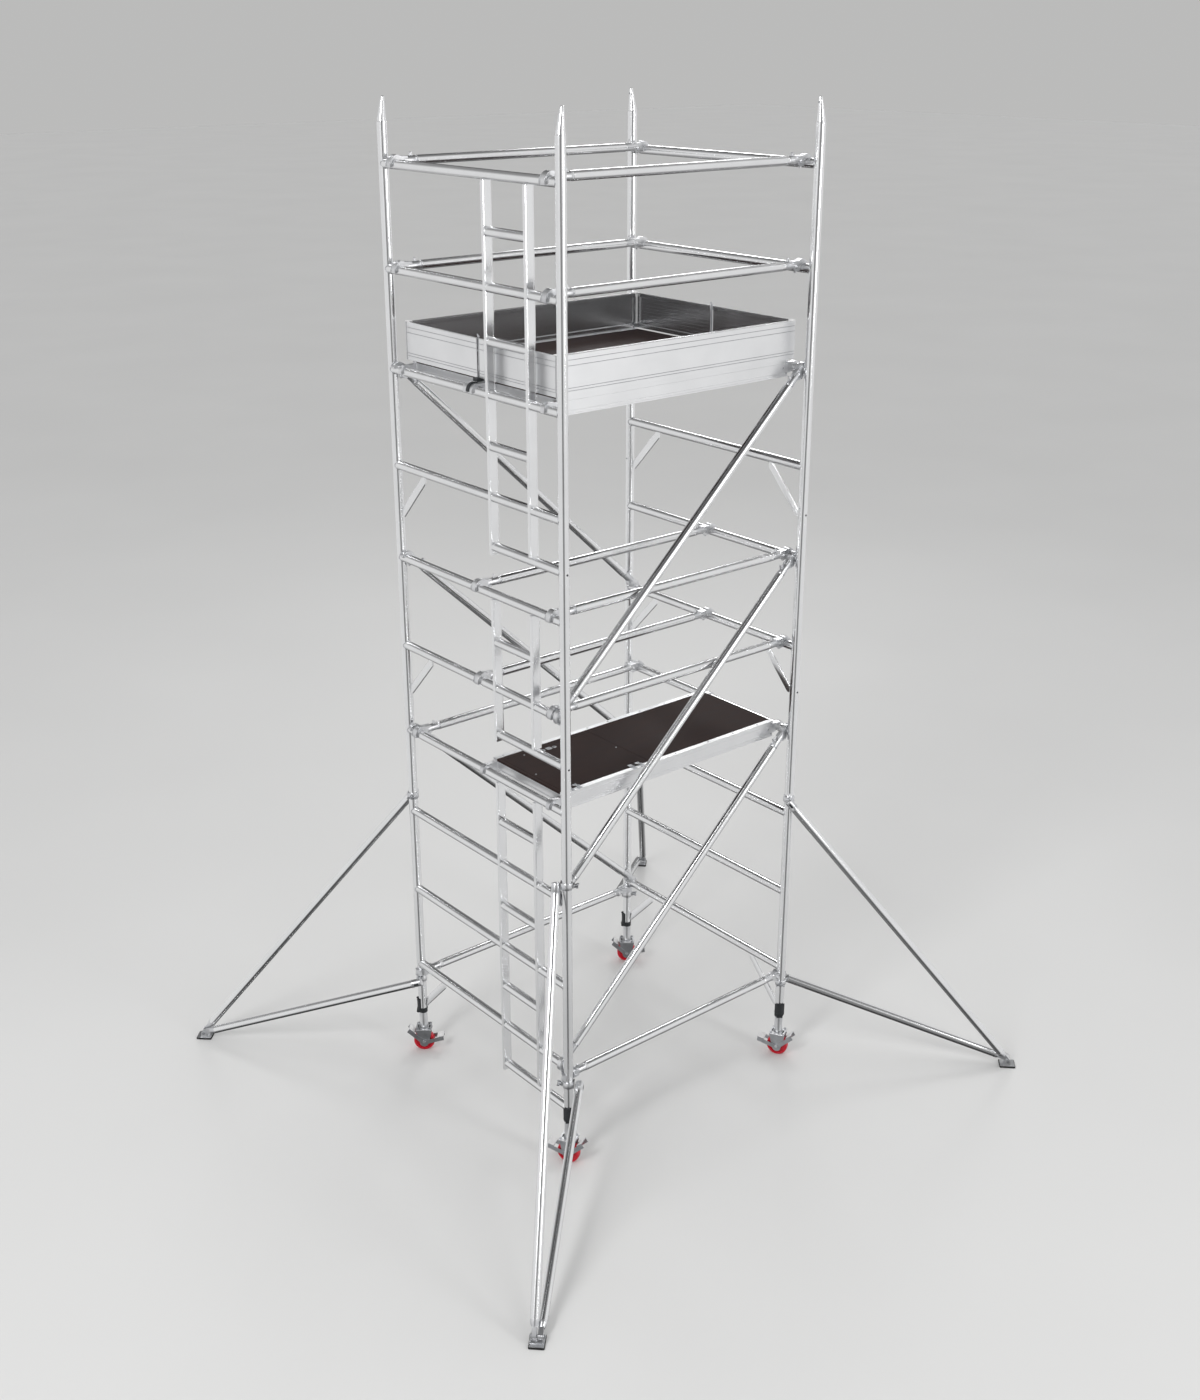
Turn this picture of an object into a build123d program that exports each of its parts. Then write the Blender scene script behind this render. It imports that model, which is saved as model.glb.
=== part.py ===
from build123d import *
import os
from math import atan2, degrees

# Mobile tower scaffold. Millimetres, +Z up. X runs from the ladder frames to the span frames,
# Y across the tower, and the origin is on the ground at the centre of the tower.

# ---- Driving dimensions -------------------------------------------------------------------
HALF_LENGTH = 800.0           # post centre to the middle of the tower, along X
HALF_WIDTH = 695.0            # post centre to the middle of the tower, along Y
POST_R = 25.4
BORE_R = 23.8
RUNG_R = 23.8
BRACE_R = 22.8
TUBE_WALL = 2.4
FIT = 0.2                     # gap of a hooked or clipped piece on the same body
RUNNING = 0.3                 # gap between pieces that move against each other

FRAME_BOTTOM = 287.0
RUNG_PITCH = 500.0
HALF_PITCH = 250.0
TOP_TO_RUNG = 193.0           # shoulder of a frame down to its top rung
FRAMES = [("base", FRAME_BOTTOM, 4), ("mid", 2287.0, 2), ("top", 3287.0, 4)]
LEVELS = dict(zip("ABCDEFGHIJ", [5094.0 - RUNG_PITCH * step for step in range(10)]))

STILE_WIDTH = 20.0
STILE_DEPTH = 50.0
STILE_NEAR = -462.0           # centre lines of the two ladder stiles
STILE_FAR = -146.0
STILE_TAIL = 40.0             # far stile below the lowest half rung
SADDLE = 12.0                 # stile end above or below a rung's centre line

GUSSET_WIDTH = 42.0
GUSSET_THICK = 8.0
GUSSET_REACH = 256.0          # from the post axis, where the gusset meets the rung
GUSSET_DROP = 268.0           # below the rung axis, where it meets the post

SPIGOT_R = 22.0
SPIGOT_TIP_R = 9.5
SPIGOT_NECK = 15.0
SPIGOT_RISE = 116.0
SPIGOT_LEAN = 10.5            # tip centre towards the inside of the tower
SPIGOT_PLUG = 60.0
BUTTON_R = 5.0
BUTTON_RISE = 89.0
BUTTON_START = 11.6           # inner end of a button, from the post axis
BUTTON_REACH = 27.6           # outer end, through the post's wall
TIP_BUTTON_REACH = 21.5       # on the open top spigots, which still take a coupler
BUTTON_POCKET = 3.0           # inner end of the hole in the spigot

# Claws of the braces: the local frame has the rung along Y and the brace along +X.
CLAW_R = 33.0
CLAW_LIP = 14.0
CLAW_SHANK_R = 20.5
CLAW_LENGTH = 132.0
CLAW_HUMP = (8.0, 6.0, 38.0)  # centre along the brace, centre above the rung, radius
CLAW_RISE = 15.0
DIAGONAL_RISE = 20.0
CLAW_WIDTH = 36.0
DIAGONAL_CLAW_WIDTH = 24.0
TRIGGER_AT = 98.0
TRIGGER_SIZE = (16.0, 14.0, 18.0)
BRACE_INSET = 90.0            # brace axis to post axis
DIAGONAL_INSET = 38.0
BASE_BRACE_DROP = 51.0        # base braces clip on the posts under the lowest rung

# Platforms: heights are above the rung that carries them.
BEAM_WIDTH = 30.0
BEAM_END = 740.0
BEAM_TOP = 52.0
BEAM_BOTTOM = -38.0
PLATFORM_OUTER = 600.0
PLATFORM_INNER = 8.0
PLY = 12.0
DECK_TOP = 51.0
CROSS_DEPTH = 50.0
CROSS_WIDTH = 30.0
CROSS_AT = (-722.0, -123.0, 155.0, 440.0, 722.0)
HOOK_R = 34.0
HOOK_LIP = 14.0
HATCH = (-720.0, -140.0, -567.0, -70.0)
HATCH_GAP = 2.0
HINGE_R = 3.2
HINGE_RISE = 55.5
HINGE_AT = (-652.0, -233.0)
HINGE_LENGTH = 76.0
HINGE_LEAF = 28.0
LEAF_THICK = 2.0
LATCH_AT = (-447.0, -105.0)
FINGER_HOLES = (-484.0, -410.0)
FINGER_R = 9.0

# Toe boards round the upper platforms.
TOE_OUTER_X = 767.0
TOE_OUTER_Y = 615.0
TOE_BOTTOM = 54.0
TOE_TOP = 244.0
TOE_THICK = 22.0
TOE_WEB = 12.0
TOE_BEAD = 24.0
TOE_END_THICK = 9.0
TOE_SPLIT = (-16.0, 4.0)
TOE_PIN_R = 6.0
TOE_PIN_TOP = 264.0

# Adjustable legs and castors.
LEG_R = 23.5
LEG_TOP = 720.0
COLLAR_R = 26.0
COLLAR_BOTTOM = 260.0
LEVER_WIDTH = 50.0
LEVER_PIN = (32.0, 268.0)     # outward offset from the post axis, height
LEVER_FACE = 29.0
LEVER_THICK = 8.0
LEVER_TOP = 352.0
LEVER_NUB = (6.0, 8.0)        # radius and height of the thumb nub
EAR_AT = 14.5
EAR_THICK = 5.0
EAR_R = 6.5
KNUCKLE_R = 5.4
BASE_PLATE = (90.0, 5.0)
PLATE_BOTTOM = 148.0
WHEEL_R = 62.5
WHEEL_WIDTH = 40.0
AXLE_R = 6.0
FORK_PLATE = 3.0
FORK_INNER = 23.0
FORK_TOP_HALF = 47.5
FORK_HEAD = (142.0, 147.7)
FORK_POINT_R = 34.5
FORK_POINT_HALF = 24.0
ROCKER_TILT = 14.0
ROCKER_INNER = 27.0
ROCKER_THICK = 3.0
ROCKER_HUB_R = 20.0
ROCKER_DEPTH = (-19.0, 7.0)    # arm edges below and above the line to the pedal
PEDAL_REACH = 104.0
PEDAL_ANGLE = 27.8
PEDAL = (42.0, 60.4, 4.0)
CASTOR_FACES = {"ladder_near": -62.0, "span_near": -62.0, "ladder_far": -39.7, "span_far": -39.7}
LOW_SIDE = {"ladder_near": -1, "span_near": -1, "ladder_far": 1, "span_far": 1}

# Stabilisers: local frame with +X outward from the post and the post axis at X = Y = 0.
STABILISER_REACH = 1357.0
FOOT_PIN_Z = 39.0
ARM_R = 23.0
UPPER_ARM = (-56.0, 1690.0)   # sideways offset, height at the post
LOWER_ARM = (60.0, 496.0)
FOOT_OFFSET = 15.0
CLAMP_R = 31.5
CLAMP_HEIGHT = 36.0
CLAMP_LUG = 32.8
CLAMP_BOLT_R = 6.0
ARM_HEAD = 40.0
ARM_BAND = 10.0
ARM_TAIL = 12.0
EYE_THICK = 24.0
EYE_R = 15.0
EYE_BAR = 42.0
EYE_CONE = 75.0
FOOT_PAD = (91.0, 78.0, 12.0)
FOOT_BASE = (44.0, 62.0, 3.0)
FOOT_WALL = 3.0
FOOT_WALL_TOP = 56.0

CORNERS = {
    "ladder_near": (-1, -1),
    "span_near": (1, -1),
    "ladder_far": (-1, 1),
    "span_far": (1, 1),
}
LEVER_FACES = {name: 232.0 if side[1] < 0 else 143.0 for name, side in CORNERS.items()}


# ---- Helpers --------------------------------------------------------------------------------
def rod(start, end, radius):
    """A round bar between two points."""
    line = Vector(*end) - Vector(*start)
    place = Plane(origin=Vector(*start), z_dir=line)
    return place * Cylinder(radius, line.length, align=(Align.CENTER, Align.CENTER, Align.MIN))


def tube(start, end, radius, inner):
    """A round tube between two points."""
    return rod(start, end, radius) - rod(start, end, inner)


def block(x0, x1, y0, y1, z0, z1):
    """A box from its limits along X, Y and Z."""
    size = (abs(x1 - x0), abs(y1 - y0), abs(z1 - z0))
    return Pos((x0 + x1) / 2, (y0 + y1) / 2, (z0 + z1) / 2) * Box(*size)


def cone(start, end, radius, end_radius):
    """A round taper between two points."""
    line = Vector(*end) - Vector(*start)
    place = Plane(origin=Vector(*start), z_dir=line)
    return place * Cone(radius, end_radius, line.length, align=(Align.CENTER, Align.CENTER, Align.MIN))


def save(name, *shapes):
    """Write every solid of the shapes to one STEP file."""
    solids = [solid for shape in shapes for solid in shape.solids()]
    export_step(Compound(children=solids), f"parts/{name}.step")


def post_core(x, y):
    """The full round of a post over the whole height, used to cope what meets it."""
    return rod((x, y, 0), (x, y, LEVELS["A"] + RUNG_PITCH), POST_R)


# ---- End frames -----------------------------------------------------------------------------
def spigot(x, y, shoulder, inward):
    """Tapered joining spigot, its tip leaning towards the inside of the tower."""
    neck_top = shoulder + SPIGOT_NECK
    plug = rod((x, y, shoulder - SPIGOT_PLUG), (x, y, shoulder), BORE_R)
    neck = rod((x, y, shoulder), (x, y, neck_top), SPIGOT_R)
    low = Plane(origin=(x, y, neck_top)) * Circle(SPIGOT_R)
    high = Plane(origin=(x + inward * SPIGOT_LEAN, y, shoulder + SPIGOT_RISE)) * Circle(SPIGOT_TIP_R)
    body = plug + neck + loft([low, high])
    z = shoulder + BUTTON_RISE
    pocket = rod((x + inward * BUTTON_POCKET, y, z), (x + inward * POST_R, y, z), BUTTON_R + RUNNING)
    return body - pocket


def button(x, y, z, inward, reach):
    """Sprung interlock button lying in its spigot pocket."""
    return rod((x + inward * BUTTON_START, y, z), (x + inward * reach, y, z), BUTTON_R)


def post(x, y, bottom, top, inward, drilled):
    """Upright of an end frame, drilled for the button of the frame below it."""
    body = tube((x, y, bottom), (x, y, top), POST_R, BORE_R)
    if drilled:
        z = bottom + BUTTON_RISE
        body -= rod((x, y, z), (x + inward * (POST_R + 1), y, z), BUTTON_R + RUNNING)
    return body


def rung(x, y0, y1, z):
    """Rung between two Y positions, coped where it meets a post."""
    body = rod((x, y0, z), (x, y1, z), RUNG_R)
    for side in (-1, 1):
        if side * HALF_WIDTH in (y0, y1):
            body -= post_core(x, side * HALF_WIDTH)
    return body


def gusset(x, side, rung_z):
    """Sloping flat bar from a post up to the underside of a full rung."""
    slope = (GUSSET_DROP - RUNG_R) / (GUSSET_REACH - POST_R)
    low = Vector(x, side * HALF_WIDTH, rung_z - GUSSET_DROP - POST_R * slope)
    high = Vector(x, side * (HALF_WIDTH - GUSSET_REACH - RUNG_R / slope), rung_z)
    place = Plane(origin=(low + high) * 0.5, x_dir=(1, 0, 0), z_dir=high - low)
    bar = place * Box(GUSSET_THICK, GUSSET_WIDTH, (high - low).length)
    bar -= post_core(x, side * HALF_WIDTH)
    return bar - rod((x, -HALF_WIDTH, rung_z), (x, HALF_WIDTH, rung_z), RUNG_R)


def posts_and_spigots(x, level, bottom, top):
    """The two uprights of a frame with their spigots."""
    inward = 1 if x < 0 else -1
    shapes = []
    for side in (-1, 1):
        y = side * HALF_WIDTH
        shapes.append(post(x, y, bottom, top, inward, level != "base"))
        shapes.append(spigot(x, y, top, inward))
    return shapes


def stile(y, bottom, top, rungs):
    """Flat-sided ladder upright, hollowed where it sits against round rungs."""
    x = -HALF_LENGTH
    half = STILE_WIDTH / 2
    body = block(x - STILE_DEPTH / 2, x + STILE_DEPTH / 2, y - half, y + half, bottom, top)
    for z in rungs:
        body -= rod((x, y - STILE_WIDTH, z), (x, y + STILE_WIDTH, z), RUNG_R)
    return body


def ladder_frame(level, bottom, count):
    """End frame with a built-in ladder, half rungs between its stiles."""
    x = -HALF_LENGTH
    top = bottom + RUNG_PITCH * count
    rungs = [top - TOP_TO_RUNG - RUNG_PITCH * step for step in range(count)]
    lowest = rungs[-1] - HALF_PITCH
    near_face = STILE_NEAR + STILE_WIDTH / 2
    far_face = STILE_FAR - STILE_WIDTH / 2
    shapes = posts_and_spigots(x, level, bottom, top)
    shapes.append(rung(x, -HALF_WIDTH, HALF_WIDTH, rungs[0]))
    for z in rungs[1:]:
        shapes.append(rung(x, -HALF_WIDTH, STILE_NEAR - STILE_WIDTH / 2, z))
        shapes.append(rung(x, near_face, far_face, z))
        shapes.append(rung(x, STILE_FAR + STILE_WIDTH / 2, HALF_WIDTH, z))
    for z in rungs[:-1]:
        shapes.append(rung(x, near_face, far_face, z - HALF_PITCH))
    shapes.append(rung(x, -HALF_WIDTH, far_face, lowest))
    shapes.append(stile(STILE_FAR, lowest - STILE_TAIL, rungs[0] - SADDLE, rungs[:1]))
    shapes.append(stile(STILE_NEAR, lowest + SADDLE, rungs[0] - SADDLE, [rungs[0], lowest]))
    shapes.append(gusset(x, 1, rungs[-1]))
    save(f"ladder_frame_{level}", *shapes)


def span_frame(level, bottom, count):
    """Plain end frame with full-width rungs."""
    x = HALF_LENGTH
    top = bottom + RUNG_PITCH * count
    rungs = [top - TOP_TO_RUNG - RUNG_PITCH * step for step in range(count)]
    shapes = posts_and_spigots(x, level, bottom, top)
    shapes += [rung(x, -HALF_WIDTH, HALF_WIDTH, z) for z in rungs]
    shapes += [gusset(x, side, rungs[-1]) for side in (-1, 1)]
    save(f"span_frame_{level}", *shapes)


def interlock_buttons(name, x):
    """All the sprung buttons of one end of the tower."""
    inward = 1 if x < 0 else -1
    shapes = []
    for level, bottom, count in FRAMES:
        top = bottom + RUNG_PITCH * count
        reach = TIP_BUTTON_REACH if level == "top" else BUTTON_REACH
        for side in (-1, 1):
            shapes.append(button(x, side * HALF_WIDTH, top + BUTTON_RISE, inward, reach))
    save(name, *shapes)


# ---- Braces ---------------------------------------------------------------------------------
def claw(width, grip_r, rise):
    """Cast hook over a rung with the shank that holds the brace tube."""
    top = rise + CLAW_SHANK_R
    half = width / 2
    body = rod((0, -half, 0), (0, half, 0), CLAW_R)
    hump_x, hump_z, hump_r = CLAW_HUMP
    hump = rod((hump_x, -half, hump_z), (hump_x, half, hump_z), hump_r)
    body += hump - block(-2 * hump_r, 2 * hump_r, -half, half, -2 * hump_r, 0)
    body += block(0, CLAW_LENGTH / 2, -half, half, -CLAW_LIP, top)
    body += rod((CLAW_LENGTH * 0.4, 0, rise), (CLAW_LENGTH, 0, rise), CLAW_SHANK_R)
    body -= rod((0, -half, 0), (0, half, 0), grip_r)
    body -= block(-grip_r, grip_r, -half, half, -CLAW_R, 0)
    return body - block(-CLAW_R, 0, -half, half, -CLAW_R, -CLAW_LIP)


def trigger(rise):
    """Release trigger standing on the claw's shank."""
    length, width, height = TRIGGER_SIZE
    base = rise + CLAW_SHANK_R + RUNNING
    start, end = TRIGGER_AT - length / 2, TRIGGER_AT + length / 2
    return block(start, end, -width / 2, width / 2, base, base + height)


def brace_places(start, end, up):
    """Local frames of a brace's two ends, rungs along local Y and the arch along up."""
    along = (Vector(*end) - Vector(*start)).normalized()
    return (Plane(origin=start, x_dir=along, z_dir=up), Plane(origin=end, x_dir=-along, z_dir=up))


def brace(start, end, up, width=CLAW_WIDTH, grip_r=RUNG_R + FIT, rise=CLAW_RISE):
    """One brace as its tube and two claws, and its two triggers."""
    first, last = brace_places(start, end, up)
    inner_start = first.from_local_coords(Vector(CLAW_LENGTH, 0, rise))
    inner_end = last.from_local_coords(Vector(CLAW_LENGTH, 0, rise))
    pipe = tube(inner_start, inner_end, BRACE_R, BRACE_R - TUBE_WALL)
    claws = [place * claw(width, grip_r, rise) for place in (first, last)]
    return [pipe] + claws, [first * trigger(rise), last * trigger(rise)]


def level_brace(level, y):
    """Horizontal brace hooked on the rungs of one level."""
    z = LEVELS[level]
    return brace((-HALF_LENGTH, y, z), (HALF_LENGTH, y, z), (0, 0, 1))


def base_brace(side):
    """Horizontal brace clipped on the posts under the lowest rung."""
    y = side * HALF_WIDTH
    z = LEVELS["J"] - BASE_BRACE_DROP
    return brace((-HALF_LENGTH, y, z), (HALF_LENGTH, y, z), (0, -side, 0), grip_r=POST_R + FIT)


def diagonal_brace(side, low, high):
    """Diagonal brace between two levels, rising away from the ladder on the near side."""
    y = side * (HALF_WIDTH - DIAGONAL_INSET)
    first, last = (low, high) if side < 0 else (high, low)
    start = (-HALF_LENGTH, y, LEVELS[first])
    end = (HALF_LENGTH, y, LEVELS[last])
    along = Vector(*end) - Vector(*start)
    up = Vector(-along.Z, 0, along.X)
    return brace(start, end, up, DIAGONAL_CLAW_WIDTH, RUNG_R + FIT, DIAGONAL_RISE)


def braces():
    """All braces, grouped by their place in the tower, with triggers grouped by direction."""
    y = HALF_WIDTH - BRACE_INSET
    guardrails = [level_brace(level, side * y) for level in "AB" for side in (-1, 1)]
    middle = [level_brace(level, place) for level in "EF" for place in (-y, 0)] + [level_brace("G", y)]
    base = [base_brace(side) for side in (-1, 1)]
    near = [diagonal_brace(-1, low, high) for low, high in ("JG", "HE", "FC")]
    far = [diagonal_brace(1, low, high) for low, high in ("FC", "HE", "JG")]
    groups = {"guardrail_braces": guardrails, "middle_braces": middle, "base_braces": base}
    groups["diagonal_braces"] = near + far
    for name, members in groups.items():
        save(name, *[shape for solids, _ in members for shape in solids])
    level_triggers = [pair for _, pair in guardrails + middle + base]
    for end, label in enumerate(("ladder_end", "span_end")):
        save(f"brace_triggers_{label}", *[pair[end] for pair in level_triggers])
        save(f"near_diagonal_triggers_{label}", *[pair[end] for _, pair in near])
        save(f"far_diagonal_triggers_{label}", *[pair[end] for _, pair in far])


# ---- Platforms ------------------------------------------------------------------------------
def hook(end, y, z):
    """Hook at a beam's end, over the rung."""
    x = end * HALF_LENGTH
    half = BEAM_WIDTH / 2
    body = block(end * BEAM_END, x + end * HOOK_R, y - half, y + half, z - HOOK_LIP, z + HOOK_R)
    body -= rod((x, y - half, z), (x, y + half, z), RUNG_R + FIT)
    return body - block(x - RUNG_R - FIT, x + RUNG_R + FIT, y - half, y + half, z - HOOK_LIP, z)


def beam(y, z):
    """Side beam of a platform with a channel pressed in its outer face."""
    half = BEAM_WIDTH / 2
    side = 1 if abs(y) > HALF_WIDTH / 2 else -1
    side *= 1 if y > 0 else -1
    body = block(-BEAM_END, BEAM_END, y - half, y + half, z + BEAM_BOTTOM, z + BEAM_TOP)
    face = y + side * half
    return body - block(-BEAM_END, BEAM_END, face - side * 4, face + side, z - 14, z + 34)


def cross_members(near_y, far_y, z):
    """Cross members between the two side beams, under the deck."""
    top = z + DECK_TOP - PLY
    half = CROSS_WIDTH / 2
    return [block(x - half, x + half, near_y, far_y, top - CROSS_DEPTH, top) for x in CROSS_AT]


def platform_frame(name, side, level):
    """Beams, hooks and cross members of one platform."""
    z = LEVELS[level]
    outer = side * (PLATFORM_OUTER - BEAM_WIDTH / 2)
    inner = side * (PLATFORM_INNER + BEAM_WIDTH / 2)
    shapes = [beam(y, z) for y in (outer, inner)]
    shapes += [hook(end, y, z) for end in (-1, 1) for y in (outer, inner)]
    reach = side * (PLATFORM_OUTER - BEAM_WIDTH)
    shapes += cross_members(reach, side * (PLATFORM_INNER + BEAM_WIDTH), z)
    if side < 0:
        shapes += hinge_knuckles(z, (-1, 1))
    save(name, *shapes)


def hinge_knuckles(z, parts):
    """Outer knuckles of the hatch hinges, fixed to the near beam with their leaves."""
    shapes = []
    length = HINGE_LENGTH / 3 - RUNNING
    y = HATCH[2] - 3
    for centre in HINGE_AT:
        for part in parts:
            x = centre + part * HINGE_LENGTH / 3
            knuckle = rod((x - length / 2, y, z + HINGE_RISE), (x + length / 2, y, z + HINGE_RISE), HINGE_R)
            low = z + BEAM_TOP
            leaf = block(x - length / 2, x + length / 2, y - HINGE_LEAF, y, low, low + LEAF_THICK)
            shapes.append(knuckle + leaf)
    return shapes


def hatch_leaves(z):
    """Middle knuckles and leaves of the hatch hinges, fixed to the hatch."""
    shapes = []
    half = HINGE_LENGTH / 6 - RUNNING
    top = z + DECK_TOP
    y = HATCH[2] - 3
    for centre in HINGE_AT:
        knuckle = rod((centre - half, y, z + HINGE_RISE), (centre + half, y, z + HINGE_RISE), HINGE_R)
        leaf = block(centre - half, centre + half, HATCH[2], HATCH[2] + HINGE_LEAF, top, top + LEAF_THICK)
        web = block(centre - half, centre + half, y + 0.5, HATCH[2] + 3, top, z + HINGE_RISE)
        shapes.append(knuckle + leaf + web)
    return shapes


def hatch(name, level):
    """Hinged ply hatch with two finger holes."""
    z = LEVELS[level]
    x0, x1, y0, y1 = HATCH
    panel = block(x0, x1, y0, y1, z + DECK_TOP - PLY, z + DECK_TOP)
    for x in FINGER_HOLES:
        panel -= rod((x, LATCH_AT[1], z), (x, LATCH_AT[1], z + BEAM_TOP), FINGER_R)
    save(name, panel, *hatch_leaves(z))


def hatch_latch(name, level):
    """Sprung latch slider lying on the hatch between its finger holes."""
    x, y = LATCH_AT
    low = LEVELS[level] + DECK_TOP + RUNNING
    plate = block(x - 16, x + 16, y - 14, y + 14, low, low + LEAF_THICK)
    grip = block(x - 12, x + 12, y - 3, y + 3, low + LEAF_THICK, low + 3 * LEAF_THICK)
    save(name, plate + grip)


def hatch_deck(name, level):
    """Ply deck round the hatch: the main panel and the two strips beside the hatch."""
    z = LEVELS[level]
    low, top = z + DECK_TOP - PLY, z + DECK_TOP
    inner = -PLATFORM_INNER - BEAM_WIDTH
    outer = -PLATFORM_OUTER + BEAM_WIDTH
    x0, x1, _, y1 = HATCH
    main = block(x1 + HATCH_GAP, BEAM_END, outer, inner, low, top)
    end = block(-BEAM_END, x0 - HATCH_GAP, outer, inner, low, top)
    strip = block(x0 - HATCH_GAP, x1 + HATCH_GAP, y1 + HATCH_GAP, inner, low, top)
    save(name, main, end, strip)


def plain_deck(name, level):
    """Ply deck of the platform without a hatch."""
    z = LEVELS[level]
    inner = PLATFORM_INNER + BEAM_WIDTH
    outer = PLATFORM_OUTER - BEAM_WIDTH
    save(name, block(-BEAM_END, BEAM_END, inner, outer, z + DECK_TOP - PLY, z + DECK_TOP))


def platforms():
    """The two hatch platforms and the plain one beside the upper of them."""
    for label, level in (("lower", "G"), ("upper", "C")):
        platform_frame(f"{label}_hatch_platform_frame", -1, level)
        hatch_deck(f"{label}_hatch_platform_deck", level)
        hatch(f"{label}_hatch", level)
        hatch_latch(f"{label}_hatch_latch", level)
    platform_frame("upper_plain_platform_frame", 1, "C")
    plain_deck("upper_plain_platform_deck", "C")


# ---- Toe boards -----------------------------------------------------------------------------
def side_toe_board(side):
    """Long board with a thick bead along its top and bottom edges."""
    z = LEVELS["C"]
    outer = side * TOE_OUTER_Y
    inner = side * (TOE_OUTER_Y - TOE_THICK)
    web = side * (TOE_OUTER_Y - (TOE_THICK - TOE_WEB) / 2)
    web_in = side * (TOE_OUTER_Y - (TOE_THICK + TOE_WEB) / 2)
    low, top = z + TOE_BOTTOM, z + TOE_TOP
    body = block(-TOE_OUTER_X, TOE_OUTER_X, web, web_in, low, top)
    body += block(-TOE_OUTER_X, TOE_OUTER_X, outer, inner, low, low + TOE_BEAD)
    return body + block(-TOE_OUTER_X, TOE_OUTER_X, outer, inner, top - TOE_BEAD, top)


def end_toe_boards(end):
    """The two halves of the board across one end."""
    z = LEVELS["C"]
    reach = TOE_OUTER_Y - TOE_THICK
    x0, x1 = end * TOE_OUTER_X, end * (TOE_OUTER_X - TOE_END_THICK)
    spans = ((-reach, TOE_SPLIT[0]), (TOE_SPLIT[1], reach))
    return [block(x0, x1, y0, y1, z + TOE_BOTTOM, z + TOE_TOP) for y0, y1 in spans]


def toe_board_fittings():
    """Centre pins and corner clips inside the ring of toe boards."""
    z = LEVELS["C"]
    y = sum(TOE_SPLIT) / 2
    inner_x = TOE_OUTER_X - TOE_END_THICK
    inner_y = TOE_OUTER_Y - TOE_THICK
    shapes = []
    for end in (-1, 1):
        x = end * (inner_x - TOE_PIN_R)
        shapes.append(rod((x, y, z + TOE_BOTTOM), (x, y, z + TOE_PIN_TOP), TOE_PIN_R))
        for side in (-1, 1):
            low, top = z + TOE_BOTTOM, z + TOE_BOTTOM + TOE_BEAD
            x0, x1 = end * inner_x, end * (inner_x - 24)
            shapes.append(block(x0, x1, side * inner_y, side * (inner_y - 5), low, top))
    save("toe_board_fittings", *shapes)


def toe_boards():
    """The ring of toe boards round the upper platforms."""
    save("toe_board_sides", *[side_toe_board(side) for side in (-1, 1)])
    save("toe_board_ends", *[board for end in (-1, 1) for board in end_toe_boards(end)])
    toe_board_fittings()


# ---- Adjustable legs and castors ------------------------------------------------------------
def lock_place(name, sx, sy):
    """Local frame of a leg lock: the post axis at X = Y = 0 and +X out towards the lever."""
    return Pos(sx * HALF_LENGTH, sy * HALF_WIDTH, 0) * Rot(0, 0, LEVER_FACES[name])


def leg_collar():
    """Collar at the foot of a post, with the two ears that hold the lock lever."""
    offset, height = LEVER_PIN
    ring = tube((0, 0, COLLAR_BOTTOM), (0, 0, FRAME_BOTTOM), COLLAR_R, BORE_R)
    for ear in (-1, 1):
        y0 = ear * EAR_AT - EAR_THICK / 2
        y1 = y0 + EAR_THICK
        plate = block(COLLAR_R - 6, offset, y0, y1, COLLAR_BOTTOM, height + EAR_R)
        plate += rod((offset, y0, height), (offset, y1, height), EAR_R)
        ring += plate - rod((0, 0, COLLAR_BOTTOM), (0, 0, FRAME_BOTTOM), BORE_R + 1)
    return ring


def leg_collars():
    """The collars of the four posts."""
    save("leg_collars", *[lock_place(name, sx, sy) * leg_collar() for name, (sx, sy) in CORNERS.items()])


def leg_lock(name, sx, sy):
    """Lock lever hinged at the collar and lying up against the post."""
    offset, height = LEVER_PIN
    inner = EAR_AT - EAR_THICK / 2 - RUNNING
    half = LEVER_WIDTH / 2
    back = LEVER_FACE + LEVER_THICK
    middle = (LEVER_FACE + back) / 2
    nub_r, nub_height = LEVER_NUB
    body = rod((offset, -inner, height), (offset, inner, height), KNUCKLE_R)
    body += block(LEVER_FACE, back, -inner, inner, height, height + EAR_R + 3)
    body += block(LEVER_FACE, back, -half, half, height + EAR_R + 2, LEVER_TOP)
    nub = rod((middle, 0, LEVER_TOP), (middle, 0, LEVER_TOP + nub_height), nub_r)
    save(f"leg_lock_{name}", *[lock_place(name, sx, sy) * shape for shape in (body, nub)])


def adjustable_leg(name, sx, sy):
    """Leg tube with its castor plate."""
    x, y = sx * HALF_LENGTH, sy * HALF_WIDTH
    size, thick = BASE_PLATE
    top = PLATE_BOTTOM + thick
    stem = tube((x, y, top), (x, y, LEG_TOP), LEG_R, LEG_R - 3.5)
    place = Pos(x, y, PLATE_BOTTOM + thick / 2) * Rot(0, 0, CASTOR_FACES[name])
    plate = place * Box(size, size, thick)
    slot = Box(8, 20, thick)
    for side in (-1, 1):
        plate -= place * Pos(side * (size / 2 - 12), 0, 0) * slot
    save(f"adjustable_leg_{name}", stem, plate)


def castor_place(name, sx, sy):
    """Local frame of a castor: rolling along X, wheel axle along Y."""
    return Pos(sx * HALF_LENGTH, sy * HALF_WIDTH, 0) * Rot(0, 0, CASTOR_FACES[name])


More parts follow.
